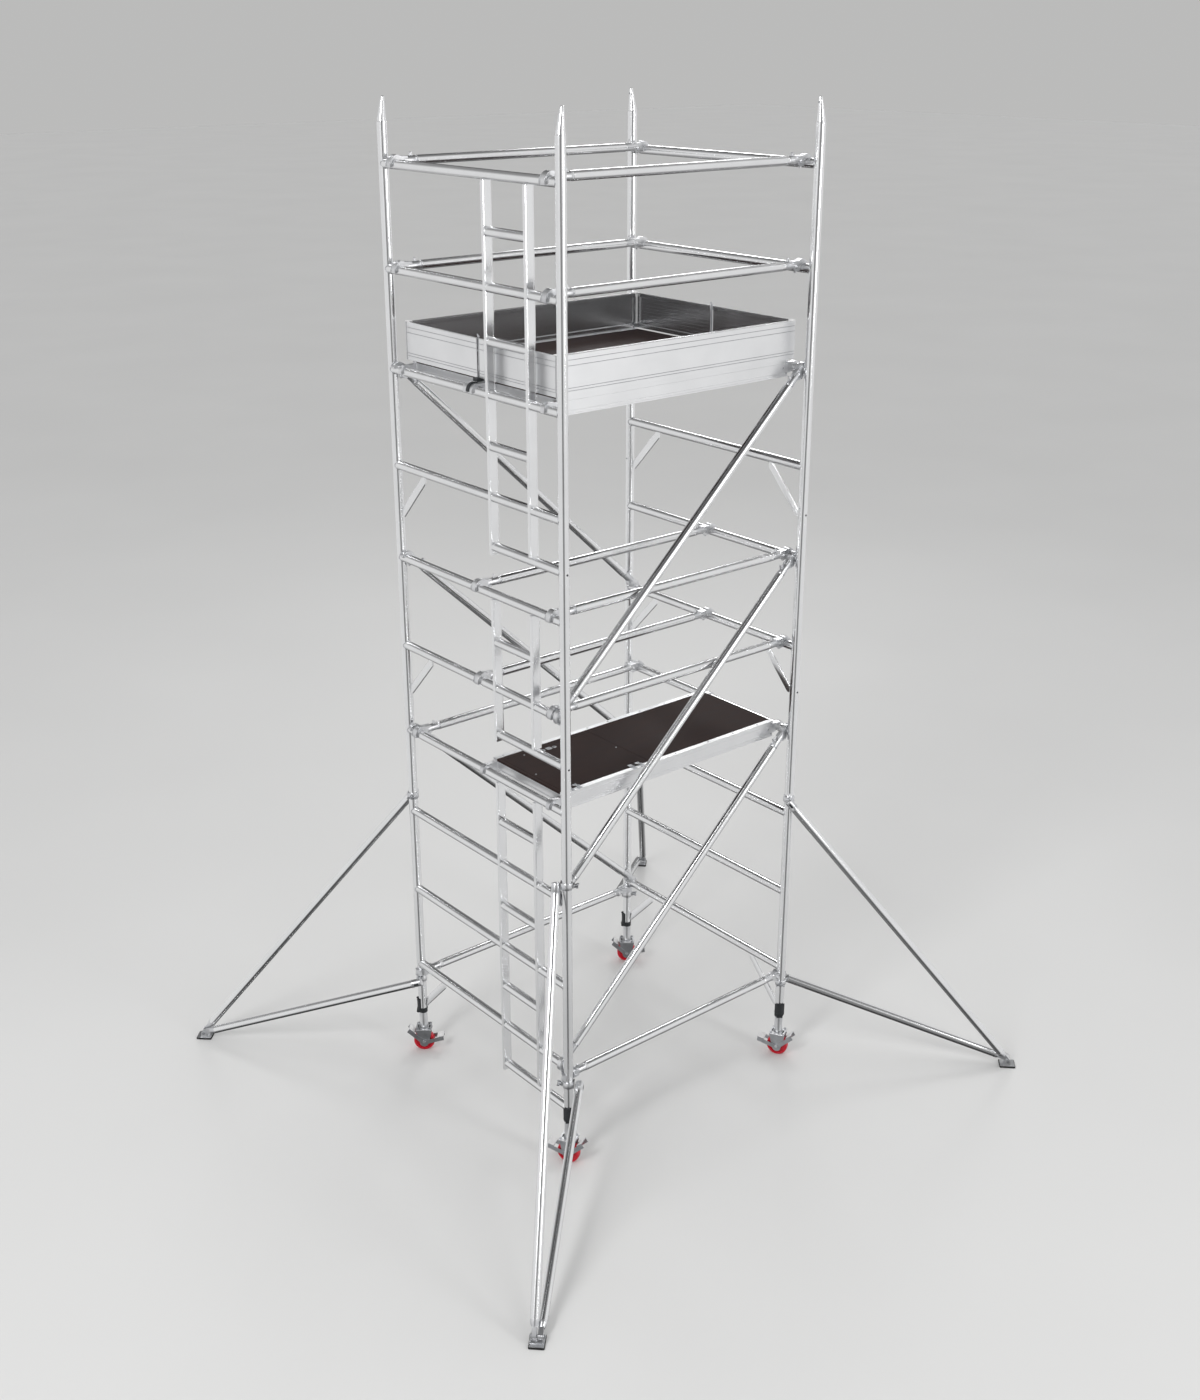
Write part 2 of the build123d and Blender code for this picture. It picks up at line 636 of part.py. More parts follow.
def fork_side(side):
    """One tapered side plate of the fork."""
    low = WHEEL_R - FORK_POINT_R
    outline = Polyline(
        (-FORK_TOP_HALF, FORK_HEAD[0]),
        (FORK_TOP_HALF, FORK_HEAD[0]),
        (FORK_POINT_HALF, low),
        (-FORK_POINT_HALF, low),
        close=True,
    )
    inner = side * FORK_INNER
    start = Plane(origin=(0, inner, 0), x_dir=(1, 0, 0), z_dir=(0, -1, 0))
    plate = extrude(start * make_face(outline), amount=-side * FORK_PLATE)
    return plate - rod((0, -FORK_INNER * 2, WHEEL_R), (0, FORK_INNER * 2, WHEEL_R), AXLE_R)


def castor_fork(name, sx, sy):
    """Fork head, two side plates and the axle bolt."""
    place = castor_place(name, sx, sy)
    outer = FORK_INNER + FORK_PLATE
    head = block(-FORK_TOP_HALF, FORK_TOP_HALF, -outer, outer, *FORK_HEAD)
    end = ROCKER_INNER + ROCKER_THICK + RUNNING
    axle = rod((0, -end, WHEEL_R), (0, end, WHEEL_R), AXLE_R)
    for side in (-1, 1):
        axle += rod((0, side * end, WHEEL_R), (0, side * (end + 4), WHEEL_R), AXLE_R + 4)
    shapes = [head, fork_side(-1), fork_side(1), axle]
    save(f"castor_fork_{name}", *[place * shape for shape in shapes])


def castor_wheel(name, sx, sy):
    """Wheel with a recessed web between its rim and hub."""
    half = WHEEL_WIDTH / 2
    body = rod((0, -half, WHEEL_R), (0, half, WHEEL_R), WHEEL_R)
    body = fillet(body.edges().filter_by(GeomType.CIRCLE), 5)
    for side in (-1, 1):
        ring = tube((0, side * half, WHEEL_R), (0, side * (half - 8), WHEEL_R), WHEEL_R - 16, 20)
        body -= ring
    body -= rod((0, -half, WHEEL_R), (0, half, WHEEL_R), AXLE_R + RUNNING)
    save(f"castor_wheel_{name}", castor_place(name, sx, sy) * body)


def rocker_arm(side):
    """One side of the brake rocker: two wide bars in a shallow V from the hub to the pedals."""
    inner, outer = side * ROCKER_INNER, side * (ROCKER_INNER + ROCKER_THICK)
    body = rod((0, inner, 0), (0, outer, 0), ROCKER_HUB_R)
    bar = Rot(0, -PEDAL_ANGLE, 0) * block(0, PEDAL_REACH + 16, inner, outer, *ROCKER_DEPTH)
    body += bar
    body += bar.mirror(Plane.YZ)
    return body - rod((0, inner, 0), (0, outer, 0), AXLE_R + RUNNING)


def pedal(end):
    """Pedal plate on top of the two rocker arms at one end."""
    angle = PEDAL_ANGLE if end > 0 else 180 - PEDAL_ANGLE
    rise = ROCKER_DEPTH[1] + PEDAL[2] / 2
    place = Rot(0, -angle, 0) * Pos(PEDAL_REACH, 0, rise if end > 0 else -rise)
    return place * Box(*PEDAL)


def brake_pedal(name, sx, sy):
    """Brake rocker hung on the axle outside the fork."""
    tilt = Rot(0, LOW_SIDE[name] * ROCKER_TILT, 0)
    place = castor_place(name, sx, sy) * Pos(0, 0, WHEEL_R) * tilt
    shapes = [rocker_arm(-1), rocker_arm(1), pedal(-1), pedal(1)]
    save(f"brake_pedal_{name}", *[place * shape for shape in shapes])


def legs_and_castors():
    """The four adjustable legs with everything below them."""
    leg_collars()
    for name, (sx, sy) in CORNERS.items():
        leg_lock(name, sx, sy)
        adjustable_leg(name, sx, sy)
        castor_fork(name, sx, sy)
        castor_wheel(name, sx, sy)
        brake_pedal(name, sx, sy)


# ---- Stabilisers ----------------------------------------------------------------------------
def post_clamp(side, z):
    """Half coupler round the post with the lug that carries an arm."""
    half = CLAMP_HEIGHT / 2
    ring = rod((0, 0, z - half), (0, 0, z + half), CLAMP_R)
    ring += block(-20, 20, 0, side * CLAMP_LUG, z - half, z + half)
    ring += block(-12, 12, 0, -side * (CLAMP_R + 8), z - half * 0.6, z + half * 0.6)
    return ring - rod((0, 0, z - half), (0, 0, z + half), POST_R + RUNNING)


def wing_nut(side, z):
    """Wing nut outside the arm's end."""
    start = side * (CLAMP_LUG + 2 * ARM_R + 3)
    hub = rod((0, start, z), (0, start + side * 12, z), 11)
    wings = block(-24, 24, start + side * 3, start + side * 9, z - 4, z + 4)
    return hub + wings - rod((0, 0, z), (0, start + side * 20, z), CLAMP_BOLT_R)


def arm(side, offset, height, foot_side):
    """One arm: cast head, band, tube, cone and foot eye, and the bolt through its head."""
    top = Vector(0, side * offset, height)
    foot = Vector(STABILISER_REACH, foot_side * FOOT_OFFSET, FOOT_PIN_Z)
    along = (foot - top).normalized()
    length = (foot - top).length

    def at(distance):
        return top + along * distance

    bolt_end = CLAMP_LUG + 2 * ARM_R + 16
    bolt = rod((0, side * CLAMP_LUG, height), (0, side * bolt_end, height), CLAMP_BOLT_R)
    head = rod(at(-ARM_TAIL), at(ARM_HEAD), ARM_R) - bolt
    band = rod(at(ARM_HEAD), at(ARM_HEAD + ARM_BAND), ARM_R)
    cone_start = length - EYE_CONE
    pipe = tube(at(ARM_HEAD + ARM_BAND), at(cone_start), ARM_R, ARM_R - TUBE_WALL)
    taper = cone(at(cone_start), at(length - EYE_BAR), ARM_R, 14)
    flat = Vector(along.X, 0, along.Z).normalized()
    bar_length = EYE_BAR + 3
    bar_middle = foot - flat * (bar_length / 2)
    place = Plane(origin=bar_middle, x_dir=flat, z_dir=flat.cross(Vector(0, 1, 0)))
    bar = place * Box(bar_length, EYE_THICK, 2 * EYE_R - 2)
    half = EYE_THICK / 2
    eye = rod((foot.X, foot.Y - half, foot.Z), (foot.X, foot.Y + half, foot.Z), EYE_R)
    pin = rod((foot.X, -60, foot.Z), (foot.X, 60, foot.Z), CLAMP_BOLT_R + RUNNING)
    return [bolt, head, band, pipe, taper + bar + eye - pin]


def stabiliser_place(sx, sy):
    """Local frame of a stabiliser at a corner post, +X outward at 45 degrees."""
    return Pos(sx * HALF_LENGTH, sy * HALF_WIDTH, 0) * Rot(0, 0, degrees(atan2(sy, sx)))


def stabiliser(name, sx, sy):
    """Two arms with their clamps and wing nuts."""
    place = stabiliser_place(sx, sy)
    shapes = []
    for (offset, height), foot_side in ((UPPER_ARM, -1), (LOWER_ARM, 1)):
        side = 1 if offset > 0 else -1
        shapes += arm(side, abs(offset), height, foot_side)
        shapes += [post_clamp(side, height), wing_nut(side, height)]
    save(f"stabiliser_{name}", *[place * shape for shape in shapes])


def stabiliser_foot(name, sx, sy):
    """Rubber pad, bracket and pin under the two arms."""
    place = stabiliser_place(sx, sy) * Pos(STABILISER_REACH, 0, 0)
    length, width, height = FOOT_PAD
    pad = block(-length / 2, length / 2, -width / 2, width / 2, 0, height)
    base_length, base_width, base_height = FOOT_BASE
    bracket_top = height + base_height
    base = block(-base_length / 2, base_length / 2, -base_width / 2, base_width / 2, height, bracket_top)
    pin = rod((0, -base_width / 2 - 4, FOOT_PIN_Z), (0, base_width / 2 + 4, FOOT_PIN_Z), CLAMP_BOLT_R)
    bracket = base
    for side in (-1, 1):
        outer = side * base_width / 2
        inner = outer - side * FOOT_WALL
        bracket += block(-15, 15, inner, outer, height, FOOT_WALL_TOP)
    shapes = [pad, bracket - pin, pin]
    save(f"stabiliser_foot_{name}", *[place * shape for shape in shapes])


def stabilisers():
    """The four outriggers."""
    for name, (sx, sy) in CORNERS.items():
        stabiliser(name, sx, sy)
        stabiliser_foot(name, sx, sy)


os.makedirs("parts", exist_ok=True)
for frame_level, frame_bottom, rung_count in FRAMES:
    ladder_frame(frame_level, frame_bottom, rung_count)
    span_frame(frame_level, frame_bottom, rung_count)
interlock_buttons("interlock_buttons_ladder", -HALF_LENGTH)
interlock_buttons("interlock_buttons_span", HALF_LENGTH)
braces()
platforms()
toe_boards()
legs_and_castors()
stabilisers()
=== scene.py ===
"""Looks of the mobile tower scaffold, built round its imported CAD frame. Metres, +Z up."""
from math import atan2, cos, pi, radians, sin, sqrt

import bmesh
import bpy
from mathutils import Matrix, Vector


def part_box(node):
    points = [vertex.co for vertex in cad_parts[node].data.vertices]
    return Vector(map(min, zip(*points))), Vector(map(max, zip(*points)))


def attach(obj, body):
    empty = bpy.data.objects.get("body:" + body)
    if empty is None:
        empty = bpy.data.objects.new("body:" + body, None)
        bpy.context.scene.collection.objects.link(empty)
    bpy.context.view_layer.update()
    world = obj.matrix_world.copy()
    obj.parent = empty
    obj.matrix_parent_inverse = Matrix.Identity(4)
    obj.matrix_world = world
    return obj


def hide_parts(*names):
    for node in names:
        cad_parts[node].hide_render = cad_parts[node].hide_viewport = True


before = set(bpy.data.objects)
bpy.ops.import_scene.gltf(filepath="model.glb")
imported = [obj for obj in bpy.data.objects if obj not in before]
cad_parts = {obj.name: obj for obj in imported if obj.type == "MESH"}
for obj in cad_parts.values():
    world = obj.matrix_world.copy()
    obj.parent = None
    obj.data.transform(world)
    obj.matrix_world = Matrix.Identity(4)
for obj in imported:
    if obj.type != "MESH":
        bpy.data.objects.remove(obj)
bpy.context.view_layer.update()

# ---- Sizes read from the frame --------------------------------------------------------------
LEVEL_NAMES = ("base", "mid", "top")
POST_R = 0.0254
BORE_R = 0.0238
RUNG_R = 0.0238
BRACE_R = 0.0228
HALF_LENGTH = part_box("span_frame_base")[1].x - POST_R
HALF_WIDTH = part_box("span_frame_base")[1].y - POST_R
FRAME_LOW = {name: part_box(f"ladder_frame_{name}")[0].z for name in LEVEL_NAMES}
SPIGOT_RISE = 0.116
HOLE_RISE = 0.050
HOLE_R = 0.0055
FRAME_TOP = {name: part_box(f"ladder_frame_{name}")[1].z - SPIGOT_RISE for name in LEVEL_NAMES}
RUNG_PITCH = 0.5
HALF_PITCH = RUNG_PITCH / 2
TOP_TO_RUNG = 0.193
LEVEL = {name: FRAME_TOP["top"] - TOP_TO_RUNG - RUNG_PITCH * i for i, name in enumerate("ABCDEFGHIJ")}
CORNERS = {"ladder_near": (-1, -1), "span_near": (1, -1), "ladder_far": (-1, 1), "span_far": (1, 1)}

STILES = (-0.462, -0.146)
STILE_WIDTH = 0.020
STILE_DEPTH = 0.050
STILE_TAIL = 0.040
GUSSET_SIZE = (0.010, 0.042)
GUSSET_REACH = 0.256
GUSSET_DROP = 0.268
BRACE_INSET = 0.090
DIAGONAL_INSET = 0.038
CLAW_LENGTH = 0.132
CLAW_WIDTH = 0.036
RUNG_GRIP = 0.0241
POST_GRIP = 0.0256
HUMP_R = 0.038
HUMP_CENTRE = (0.008, 0.006)
CLAW_LIPS = ((0.0006, 0.0050, 0.0030), (0.0090, 0.0120, 0.0016))
CLAW_RISE = 0.015
DIAGONAL_RISE = 0.020
DIAGONAL_CLAW = 0.024
SEGMENTS = 40


# ---- Mesh tools -----------------------------------------------------------------------------
def move(x, y, z):
    return Matrix.Translation((x, y, z))


def turn(degrees, axis):
    return Matrix.Rotation(radians(degrees), 4, axis)


def basis(origin, x_dir, z_dir):
    """Placement whose local X and Z point along the given directions."""
    z = Vector(z_dir).normalized()
    x = Vector(x_dir)
    x = (x - z * x.dot(z)).normalized()
    y = z.cross(x)
    place = Matrix((x, y, z)).transposed().to_4x4()
    return Matrix.Translation(origin) @ place


def along(start, end):
    """Placement at start with its Z axis towards end, and the distance between them."""
    line = Vector(end) - Vector(start)
    side = Vector((0, 0, 1)) if abs(line.normalized().z) < 0.9 else Vector((1, 0, 0))
    return basis(start, side, line), line.length


ALONG_X = Matrix(((0, 0, 1, 0), (1, 0, 0, 0), (0, 1, 0, 0), (0, 0, 0, 1)))
ALONG_Y = Matrix(((1, 0, 0, 0), (0, 0, 1, 0), (0, 1, 0, 0), (0, 0, 0, 1)))


class Shape:
    """A growing mesh: skins, tubes, turned parts and plates in one object."""

    def __init__(self, place=None):
        self.bm = bmesh.new()
        self.uv = self.bm.loops.layers.uv.new("along")
        self.place = place or Matrix.Identity(4)
        self.index = 0

    def face(self, verts, uvs=None):
        made = self.bm.faces.new(verts)
        made.material_index = self.index
        for loop, uv in zip(made.loops, uvs or [(0.0, 0.0)] * len(verts)):
            loop[self.uv].uv = uv

    def skin(self, rings, place=None, loop=False, caps=True):
        """Quads between rings of points, with the distance along them kept in the UV map."""
        place = self.place @ (place or Matrix.Identity(4))
        points = [[place @ Vector(p) for p in ring] for ring in rings]
        verts = [[self.bm.verts.new(p) for p in ring] for ring in points]
        count = len(verts[0])
        span = [0.0]
        for a, b in zip(points, points[1:] + points[:1]):
            span.append(span[-1] + (a[0] - b[0]).length)
        girth = sum((points[0][i] - points[0][i - 1]).length for i in range(count))
        last = len(verts) if loop else len(verts) - 1
        for i in range(last):
            j = (i + 1) % len(verts)
            for k in range(count):
                n = (k + 1) % count
                u, w = girth * k / count, girth * (k + 1) / count
                uvs = ((u, span[i]), (w, span[i]), (w, span[i + 1]), (u, span[i + 1]))
                self.face((verts[i][k], verts[i][n], verts[j][n], verts[j][k]), uvs)
        if caps and not loop:
            self.face(list(reversed(verts[0])))
            self.face(verts[-1])

    def turned(self, profile, place=None, loop=False, segments=SEGMENTS):
        """A turned part round local Z from (radius, height) points."""
        angles = [2 * pi * k / segments for k in range(segments)]
        rings = [[(r * cos(a), r * sin(a), h) for a in angles] for r, h in profile]
        self.skin(rings, place, loop)

    def rod(self, start, end, radius, chamfer=0.0006, segments=SEGMENTS):
        place, length = along(start, end)
        profile = [(radius - chamfer, 0), (radius, chamfer), (radius, length - chamfer)]
        self.turned(profile + [(radius - chamfer, length)], place, segments=segments)

    def tube(self, start, end, radius, wall=0.0024, segments=SEGMENTS):
        place, length = along(start, end)
        c = 0.0005
        outer = [(radius - c, 0), (radius, c), (radius, length - c), (radius - c, length)]
        inner = [(radius - wall, length), (radius - wall, 0)]
        self.turned(outer + inner, place, loop=True, segments=segments)

    def prism(self, outline, low, high, place=None):
        """A plate with a local XY outline between two local Z heights."""
        self.skin([[(x, y, low) for x, y in outline], [(x, y, high) for x, y in outline]], place)

    def block(self, low, high, place=None):
        (x0, y0, z0), (x1, y1, z1) = low, high
        x0, x1 = sorted((x0, x1))
        y0, y1 = sorted((y0, y1))
        z0, z1 = sorted((z0, z1))
        self.prism([(x0, y0), (x1, y0), (x1, y1), (x0, y1)], z0, z1, place)

    def finish(self, name, materials, body, slot, nodes=(), bevel=0.0008):
        """Turn the shape into an object that rides on a body and stands for CAD nodes."""
        bmesh.ops.recalc_face_normals(self.bm, faces=self.bm.faces)
        mesh = bpy.data.meshes.new(name)
        self.bm.to_mesh(mesh)
        self.bm.free()
        mesh.polygons.foreach_set("use_smooth", [True] * len(mesh.polygons))
        mesh.set_sharp_from_angle(angle=radians(32))
        for item in materials:
            mesh.materials.append(item)
        piece = bpy.data.objects.new(name, mesh)
        bpy.context.scene.collection.objects.link(piece)
        if bevel:
            edge = piece.modifiers.new("edges", "BEVEL")
            edge.width = bevel
            edge.segments = 2
            edge.limit_method = "ANGLE"
            edge.angle_limit = radians(40)
            edge.harden_normals = False
        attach(piece, body)
        if nodes:
            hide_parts(*nodes)
        return piece


def hexagon(radius, height=0.0):
    """Outline of a nut or a bolt head."""
    return [(radius * cos(k * pi / 3), height + radius * sin(k * pi / 3)) for k in range(6)]


def arc(radius, start, end, steps, centre=(0.0, 0.0)):
    """Points on an arc, angles in degrees."""
    angles = [radians(start + (end - start) * i / steps) for i in range(steps + 1)]
    return [(centre[0] + radius * cos(a), centre[1] + radius * sin(a)) for a in angles]


# ---- Materials ------------------------------------------------------------------------------
def shader(name, colour, roughness, metallic, **constants):
    """A new material with constants set on the shader's own sockets."""
    made = bpy.data.materials.new(name)
    made.use_nodes = True
    nodes, links = made.node_tree.nodes, made.node_tree.links
    bsdf = nodes["Principled BSDF"]
    bsdf.inputs["Base Color"].default_value = (*colour, 1)
    bsdf.inputs["Roughness"].default_value = roughness
    bsdf.inputs["Metallic"].default_value = metallic
    for socket, value in constants.items():
        bsdf.inputs[socket].default_value = value
    return made, nodes, links, bsdf


def noise(nodes, links, vector, scale, detail=4.0, stretch=(1, 1, 1)):
    """Noise on stretched coordinates."""
    mapping = nodes.new("ShaderNodeMapping")
    mapping.inputs["Scale"].default_value = stretch
    links.new(vector, mapping.inputs["Vector"])
    texture = nodes.new("ShaderNodeTexNoise")
    texture.inputs["Scale"].default_value = scale
    texture.inputs["Detail"].default_value = detail
    links.new(mapping.outputs["Vector"], texture.inputs["Vector"])
    return texture.outputs["Fac"]


def ramp(nodes, links, value, low, high, start=0.3, stop=0.7):
    """Map a value to a colour between two others."""
    made = nodes.new("ShaderNodeValToRGB")
    made.color_ramp.elements[0].position = start
    made.color_ramp.elements[1].position = stop
    made.color_ramp.elements[0].color = (*low, 1)
    made.color_ramp.elements[1].color = (*high, 1)
    links.new(value, made.inputs["Fac"])
    return made.outputs["Color"]


def spread(nodes, links, value, low, high):
    """Map a 0 to 1 value to a number range."""
    made = nodes.new("ShaderNodeMapRange")
    made.inputs["To Min"].default_value = low
    made.inputs["To Max"].default_value = high
    links.new(value, made.inputs["Value"])
    return made.outputs["Result"]


def bump(nodes, links, bsdf, height, strength, distance=0.001):
    """Feed a height into the shader's normal."""
    made = nodes.new("ShaderNodeBump")
    made.inputs["Strength"].default_value = strength
    made.inputs["Distance"].default_value = distance
    links.new(height, made.inputs["Height"])
    links.new(made.outputs["Normal"], bsdf.inputs["Normal"])


def drawn_aluminium(name, low, high, roughness, scratch):
    """Extruded aluminium: fine die lines along the UV map's V and a faint oxide haze."""
    made, nodes, links, bsdf = shader(name, high, roughness, 1.0)
    uv = nodes.new("ShaderNodeUVMap")
    uv.uv_map = "along"
    place = nodes.new("ShaderNodeTexCoord").outputs["Object"]
    lines = noise(nodes, links, uv.outputs["UV"], 1.0, 2.0, (900, 3, 1))
    haze = noise(nodes, links, place, 5.0, 3.0)
    links.new(ramp(nodes, links, haze, low, high), bsdf.inputs["Base Color"])
    rough = spread(nodes, links, lines, roughness * 0.85, roughness * 1.15)
    links.new(rough, bsdf.inputs["Roughness"])
    bump(nodes, links, bsdf, lines, scratch, 0.0002)
    return made


def mottled(name, low, high, roughness, metallic, scale, strength, cloud=None):
    """Cast, plated or moulded skin: a pebbled grain, with colour from the grain or from larger clouds."""
    made, nodes, links, bsdf = shader(name, high, roughness, metallic)
    place = nodes.new("ShaderNodeTexCoord").outputs["Object"]
    grain = noise(nodes, links, place, scale, 5.0 if cloud else 4.0)
    tint = noise(nodes, links, place, cloud, 5.0) if cloud else grain
    links.new(ramp(nodes, links, tint, low, high), bsdf.inputs["Base Color"])
    least, most = (0.7, 1.4) if cloud else (0.8, 1.3)
    links.new(spread(nodes, links, grain, roughness * least, roughness * most), bsdf.inputs["Roughness"])
    bump(nodes, links, bsdf, grain, strength)
    return made


def cast_metal(name, low, high, roughness, scale=260.0, strength=0.12):
    """Cast or zinc-plated metal."""
    return mottled(name, low, high, roughness, 1.0, scale, strength, 14.0)


def coloured(name, low, high, roughness, scale, strength):
    """Plastic, rubber or paint."""
    return mottled(name, low, high, roughness, 0.0, scale, strength)


def faced_ply(name):
    """Dark resin-faced plywood with a pressed wire mesh and scuffs from boots."""
    dull = {"Specular IOR Level": 0.14}
    made, nodes, links, bsdf = shader(name, (0.030, 0.017, 0.015), 0.55, 0.0, **dull)
    place = nodes.new("ShaderNodeTexCoord").outputs["Object"]
    mesh = nodes.new("ShaderNodeTexVoronoi")
    mesh.feature = "DISTANCE_TO_EDGE"
    mesh.inputs["Scale"].default_value = 170.0
    mesh.inputs["Randomness"].default_value = 0.15
    links.new(place, mesh.inputs["Vector"])
    scuffs = noise(nodes, links, place, 9.0, 8.0, (1.0, 3.0, 1.0))
    colour = ramp(nodes, links, scuffs, (0.023, 0.012, 0.011), (0.040, 0.024, 0.021), 0.35, 0.75)
    links.new(colour, bsdf.inputs["Base Color"])
    links.new(spread(nodes, links, scuffs, 0.45, 0.70), bsdf.inputs["Roughness"])
    bump(nodes, links, bsdf, mesh.outputs["Distance"], 0.35, 0.002)
    return made


ALUMINIUM = drawn_aluminium("aluminium_tube", (0.86, 0.865, 0.875), (0.91, 0.915, 0.925), 0.19, 0.03)
EXTRUSION = drawn_aluminium("aluminium_extrusion", (0.84, 0.845, 0.855), (0.89, 0.895, 0.905), 0.34, 0.04)
CASTING = cast_metal("aluminium_casting", (0.66, 0.67, 0.69), (0.86, 0.865, 0.875), 0.34)
WELD = cast_metal("weld_bead", (0.50, 0.51, 0.53), (0.74, 0.75, 0.76), 0.38, scale=500.0, strength=0.3)
ZINC = cast_metal("zinc_plate", (0.36, 0.37, 0.39), (0.58, 0.59, 0.61), 0.36, scale=120.0)
# Darker copy of the toe-board extrusion for the boards' inner faces: painted shade, not a different metal.
SHADED_INNER_FACE = drawn_aluminium("extrusion_inner_face_painted_shade", (0.56, 0.565, 0.575), (0.64, 0.645, 0.655), 0.24, 0.04)
BLACK = coloured("black_moulding", (0.012, 0.014, 0.016), (0.030, 0.034, 0.038), 0.48, 420.0, 0.15)
RUBBER = coloured("black_rubber", (0.010, 0.010, 0.010), (0.028, 0.028, 0.028), 0.75, 300.0, 0.35)
RED = coloured("red_wheel", (0.50, 0.006, 0.018), (0.68, 0.014, 0.034), 0.34, 90.0, 0.05)
LABEL = coloured("pale_label", (0.80, 0.80, 0.80), (0.90, 0.90, 0.90), 0.45, 60.0, 0.03)
PLY = faced_ply("faced_ply")


# ---- End frames -----------------------------------------------------------------------------
def weld(shape, axis_x, post_y, z, side):
    """Weld bead round a rung where it meets a post."""
    rings = []
    steps = 48
    for i in range(steps):
        a = 2 * pi * i / steps
        x, up = RUNG_R * cos(a), RUNG_R * sin(a)
        y = post_y - side * sqrt(POST_R ** 2 - x ** 2)
        size = 0.0026 + 0.0004 * sin(12 * a)
        ring = []
        for k in range(8):
            b = 2 * pi * k / 8
            grow = 1 + size * cos(b) / RUNG_R
            ring.append((axis_x + x * grow, y + size * sin(b), z + up * grow))
        rings.append(ring)
    shape.index = 1
    shape.skin(rings, loop=True)
    shape.index = 0


def rung(shape, x, y0, y1, z):
    """Rung between two Y positions; an end on a post axis is coped to the post and welded."""
    rings = []
    for y, inward in ((y0, 1), (y1, -1)):
        coped = abs(abs(y) - HALF_WIDTH) < 0.001
        ring = []
        for k in range(SEGMENTS):
            a = 2 * pi * k / SEGMENTS
            dx = RUNG_R * cos(a)
            cut = inward * (sqrt(POST_R ** 2 - dx ** 2) - 0.0008) if coped else 0.0
            ring.append((x + dx, y + cut, z + RUNG_R * sin(a)))
        rings.append(ring)
        if coped:
            weld(shape, x, y, z, -inward)
    shape.skin(rings)


def rounded_box(width, depth, corner, steps=3):
    """Outline of a rectangle with rounded corners."""
    points = []
    for sx, sy, start in ((1, 1, 0), (-1, 1, 90), (-1, -1, 180), (1, -1, 270)):
        centre = (sx * (width / 2 - corner), sy * (depth / 2 - corner))
        points += arc(corner, start, start + 90, steps, centre)
    return points


def stile(shape, y, bottom, top):
    """Ladder upright with a shallow groove down its outer and inner faces."""
    groove = 0.0012
    half_x, half_y = STILE_DEPTH / 2, STILE_WIDTH / 2
    outline = []
    for sx, sy, start in ((1, 1, 0), (-1, 1, 90), (-1, -1, 180), (1, -1, 270)):
        centre = (sx * (half_x - 0.002), sy * (half_y - 0.002))
        corner = arc(0.002, start, start + 90, 2, centre)
        mid = [(sx * (half_x - 0.008), sy * half_y), (sx * (half_x - 0.009), sy * (half_y - groove))]
        outline += corner + mid if sx * sy > 0 else mid[::-1] + corner
    outline = [(-HALF_LENGTH + px, y + py) for px, py in outline]
    shape.prism(outline, bottom, top)


def gusset(shape, x, side, rung_z):
    """Flat bar from the post up to the underside of the lowest full rung."""
    low = Vector((x, side * (HALF_WIDTH - POST_R + 0.0005), rung_z - GUSSET_DROP))
    high = Vector((x, side * (HALF_WIDTH - GUSSET_REACH), rung_z - RUNG_R + 0.001))
    line = high - low
    tip = line * (0.020 / line.length)
    place = basis(low - tip * 0.2, (1, 0, 0), line)
    shape.skin(gusset_rings(line.length, side), place)


def gusset_rings(length, side):
    """Cross sections of the gusset, its ends cut to the post and to the rung."""
    rings = []
    for base, skew in ((0.0, -side * 0.95), (length, side * 1.06)):
        outline = rounded_box(*GUSSET_SIZE, 0.003)
        rings.append([(px, py, base + py * skew * 0.9) for px, py in outline])
    return rings


def spigot(shape, x, y, shoulder, inward):
    """Tapered spigot above a post, leaning towards the inside of the tower."""
    lean = 0.0105 * inward
    sections = [(0.0225, 0.0), (0.0219, 0.002), (0.0219, 0.015), (0.0212, 0.019)]
    sections += [(0.0212 - 0.0115 * t, 0.019 + 0.092 * t) for t in (0.25, 0.5, 0.75, 1.0)]
    sections += [(0.0085, 0.1145), (0.0060, 0.116)]
    rings = []
    for radius, height in sections:
        offset = lean * max(0.0, height - 0.015) / 0.100
        ring = []
        for k in range(SEGMENTS):
            a = 2 * pi * k / SEGMENTS
            ring.append((x + offset + radius * cos(a), y + radius * sin(a), shoulder + height))
        rings.append(ring)
    shape.skin(rings)
    shape.tube((x, y, shoulder - 0.003), (x, y, shoulder + 0.0012), 0.0249, 0.0035)


def post(shape, x, y, bottom, top, drilled):
    """Post tube; a drilled post has a black disc in its outer side above the joint, painted shade standing
    in for the hole.
    """
    shape.tube((x, y, bottom), (x, y, top), POST_R, POST_R - BORE_R)
    if drilled:
        side = 1 if y > 0 else -1
        z = bottom + HOLE_RISE
        # Black disc just proud of the tube: painted shade of the hole, no hole is cut.
        shape.index = 2
        face = y + side * POST_R
        shape.rod((x, face - side * 0.002, z), (x, face + side * 0.0005, z), HOLE_R, 0.0003, 20)
        shape.index = 0


